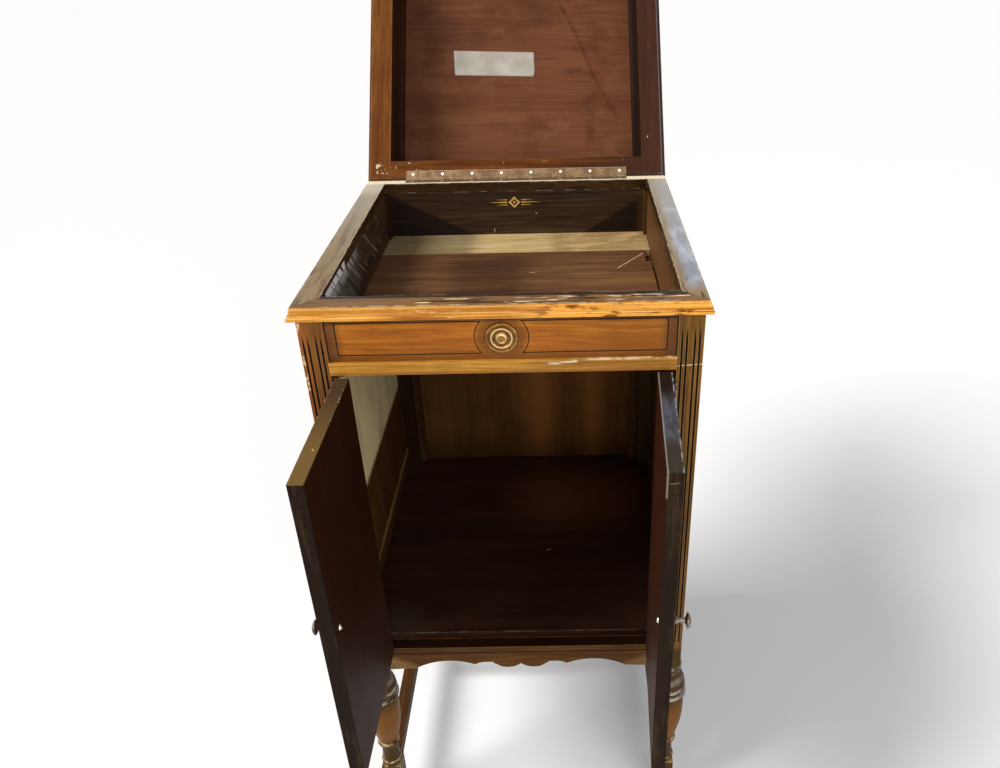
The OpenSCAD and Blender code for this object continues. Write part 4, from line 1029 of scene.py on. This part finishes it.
def lay_tape():
    """A strip of paper tape, torn at both ends, pressed on the inside of the lid's top board."""
    opening = closing_matrix(LID).inverted()
    under = closed_box("lid_top", LID)[0].z
    corners = [Vector((x, y, under)) for x, y in TAPE_CORNERS]
    form = bmesh.new()
    grid = []
    for i in range(TAPE_COLUMNS + 1):
        across = i / TAPE_COLUMNS
        lower = corners[0].lerp(corners[1], across)
        upper = corners[3].lerp(corners[2], across)
        column = []
        for j in range(TAPE_ROWS + 1):
            up = j / TAPE_ROWS
            tear = torn(up, i > 0) if i in (0, TAPE_COLUMNS) else 0.0
            point = lower.lerp(upper, up) + Vector((tear, 0, 0))
            ripple = 0.5 + 0.5 * noise.noise(Vector((point.x * 45, point.y * 90, 1.0)))
            point.z -= TAPE_LIFT + RIPPLE * ripple * math.sin(math.pi * up)
            column.append(form.verts.new(opening @ point))
        grid.append(column)
    for left, right in zip(grid, grid[1:]):
        for j in range(TAPE_ROWS):
            form.faces.new((left[j], right[j], right[j + 1], left[j + 1]))
    mesh = mesh_from(form, "blank_tape", tape_paper())
    mesh.shade_smooth()
    piece = in_scene("blank_tape", mesh)
    thick = piece.modifiers.new("paper", "SOLIDIFY")
    thick.thickness = TAPE_THICKNESS
    thick.offset = 0.0
    show(piece, body_of("lid_top"), RAW)


def gild_well():
    """A lozenge with three tapering lines to each side, in gilt, on the well's rear wall."""
    centre = Vector((-0.004, WELL_REAR_Y, RIM_TOP - 0.036))
    half_width, half_height, raised, gap = 0.045, 0.010, 0.00015, 0.002
    opening, core = 0.6, 0.25               # parts of the lozenge's size
    rays = ((0, 1.0, 0.0011), (0.0045, 0.7, 0.0008), (-0.0045, 0.7, 0.0008))
    form = bmesh.new()

    def plate(points):
        face = form.faces.new([form.verts.new(centre + Vector((x, -raised, z))) for x, z in points])
        face.normal_update()
        bmesh.ops.solidify(form, geom=[face], thickness=raised / 2)

    def shrunk(points, size):
        return [(size * x, size * z) for x, z in points]

    lozenge = [(half_height, 0), (0, half_height), (-half_height, 0), (0, -half_height)]
    for side in zip(lozenge, lozenge[1:] + lozenge[:1]):
        plate([*side, *reversed(shrunk(side, opening))])
    plate(shrunk(lozenge, core))
    for side in (-1, 1):
        for level, reach, thickness in rays:
            start = side * (half_height + gap)
            end = side * half_width * reach
            plate([(start, level - thickness), (end, level), (start, level + thickness)][::side])
    bmesh.ops.recalc_face_normals(form, faces=form.faces)
    mesh = mesh_from(form, "gilt_ornament", gilt_leaf())
    show(in_scene("gilt_ornament", mesh), "cabinet", "antique_brass")


dress_cabinet()
dress_lid()
dress_doors()
dress_hardware()
lay_tape()
gild_well()


# ---- stage, light and camera ----

WHITE = (1, 1, 1, 1)
FLOOR_COLOUR = (0.86, 0.87, 0.89, 1)
FLOOR_HALF_WIDTH = 30.0
FLOOR_GLOW = 0.09
WORLD_LIGHT = 0.30


def make_floor():
    """A pale floor that keeps the shadow and reads as white where it is lit."""
    s = Shader(bpy.data.materials.new("pale_floor"))
    grain = s.noise(s.place(), 40.0)
    diffuse = s.add("ShaderNodeBsdfDiffuse", {"Color": FLOOR_COLOUR})
    path = s.add("ShaderNodeLightPath", {}).outputs
    seen = s.plus(path["Is Camera Ray"], path["Is Glossy Ray"], path["Is Transmission Ray"])
    strength = s.times(seen, s.plus(FLOOR_GLOW, s.times(grain, 0.01)))
    glow = s.add("ShaderNodeEmission", {"Color": WHITE, "Strength": strength})
    total = s.add("ShaderNodeAddShader", {0: diffuse.outputs[0], 1: glow.outputs[0]})
    s.add("ShaderNodeOutputMaterial", {0: total.outputs[0]})
    form = bmesh.new()
    bmesh.ops.create_grid(form, x_segments=1, y_segments=1, size=FLOOR_HALF_WIDTH)
    floor = in_scene("floor", mesh_from(form, "floor", s.owner))


def make_world():
    """Even light from all round, which the camera, gloss and glass see as white."""
    world = bpy.data.worlds.new("studio")
    s = Shader(world)
    path = s.add("ShaderNodeLightPath", {}).outputs
    seen = path["Is Camera Ray"]
    for kind in ("Is Glossy Ray", "Is Transmission Ray"):
        seen = s.math("MAXIMUM", seen, path[kind])
    strength = s.add("ShaderNodeMapRange", {"Value": seen, "To Min": WORLD_LIGHT, "To Max": 1.0}).outputs[0]
    background = s.add("ShaderNodeBackground", {"Color": WHITE, "Strength": strength})
    s.add("ShaderNodeOutputWorld", {0: background.outputs[0]})
    bpy.context.scene.world = world


def make_sun():
    """A broad key light from the left and the front, which never falls off on the floor."""
    data = bpy.data.lights.new("key", "SUN")
    data.energy = 3.1
    data.angle = math.radians(26)
    data.color = (1.0, 0.97, 0.93)
    light = in_scene("key", data)
    towards = Vector((-0.85, -0.24, 1.0))
    light.rotation_euler = towards.to_track_quat("Z", "Y").to_euler()


def make_fill():
    """A weak soft light from the camera's side, for the fronts."""
    data = bpy.data.lights.new("fill", "AREA")
    data.size = 1.6
    data.energy = 26.0
    light = in_scene("fill", data)
    light.location = (0.8, -2.2, 1.8)
    aim = Vector((0, 0, 0.75))
    light.rotation_euler = (aim - light.location).to_track_quat("-Z", "Y").to_euler()


def make_camera():
    """The photograph's own view, found from the cabinet's corners in it."""
    yaw, pitch, roll = -0.00716, 0.52938, -0.02218
    forward = Vector((math.sin(yaw) * math.cos(pitch), math.cos(yaw) * math.cos(pitch), -math.sin(pitch)))
    level = Vector((math.cos(yaw), -math.sin(yaw), 0))
    upward = level.cross(forward)
    right = math.cos(roll) * level + math.sin(roll) * upward
    up = math.cos(roll) * upward - math.sin(roll) * level
    data = bpy.data.cameras.new("camera")
    data.lens = 30.77
    data.sensor_width = 36.0
    data.shift_x = -0.060
    camera = in_scene("camera", data)
    turn = Matrix((right, up, -forward)).transposed().to_4x4()
    stand = at(0.07783, -1.19112, 1.41507)
    camera.matrix_world = Matrix.Translation(stand) @ turn
    bpy.context.scene.camera = camera


make_floor()
make_world()
make_sun()
make_fill()
make_camera()
bpy.context.scene.view_settings.view_transform = "Standard"
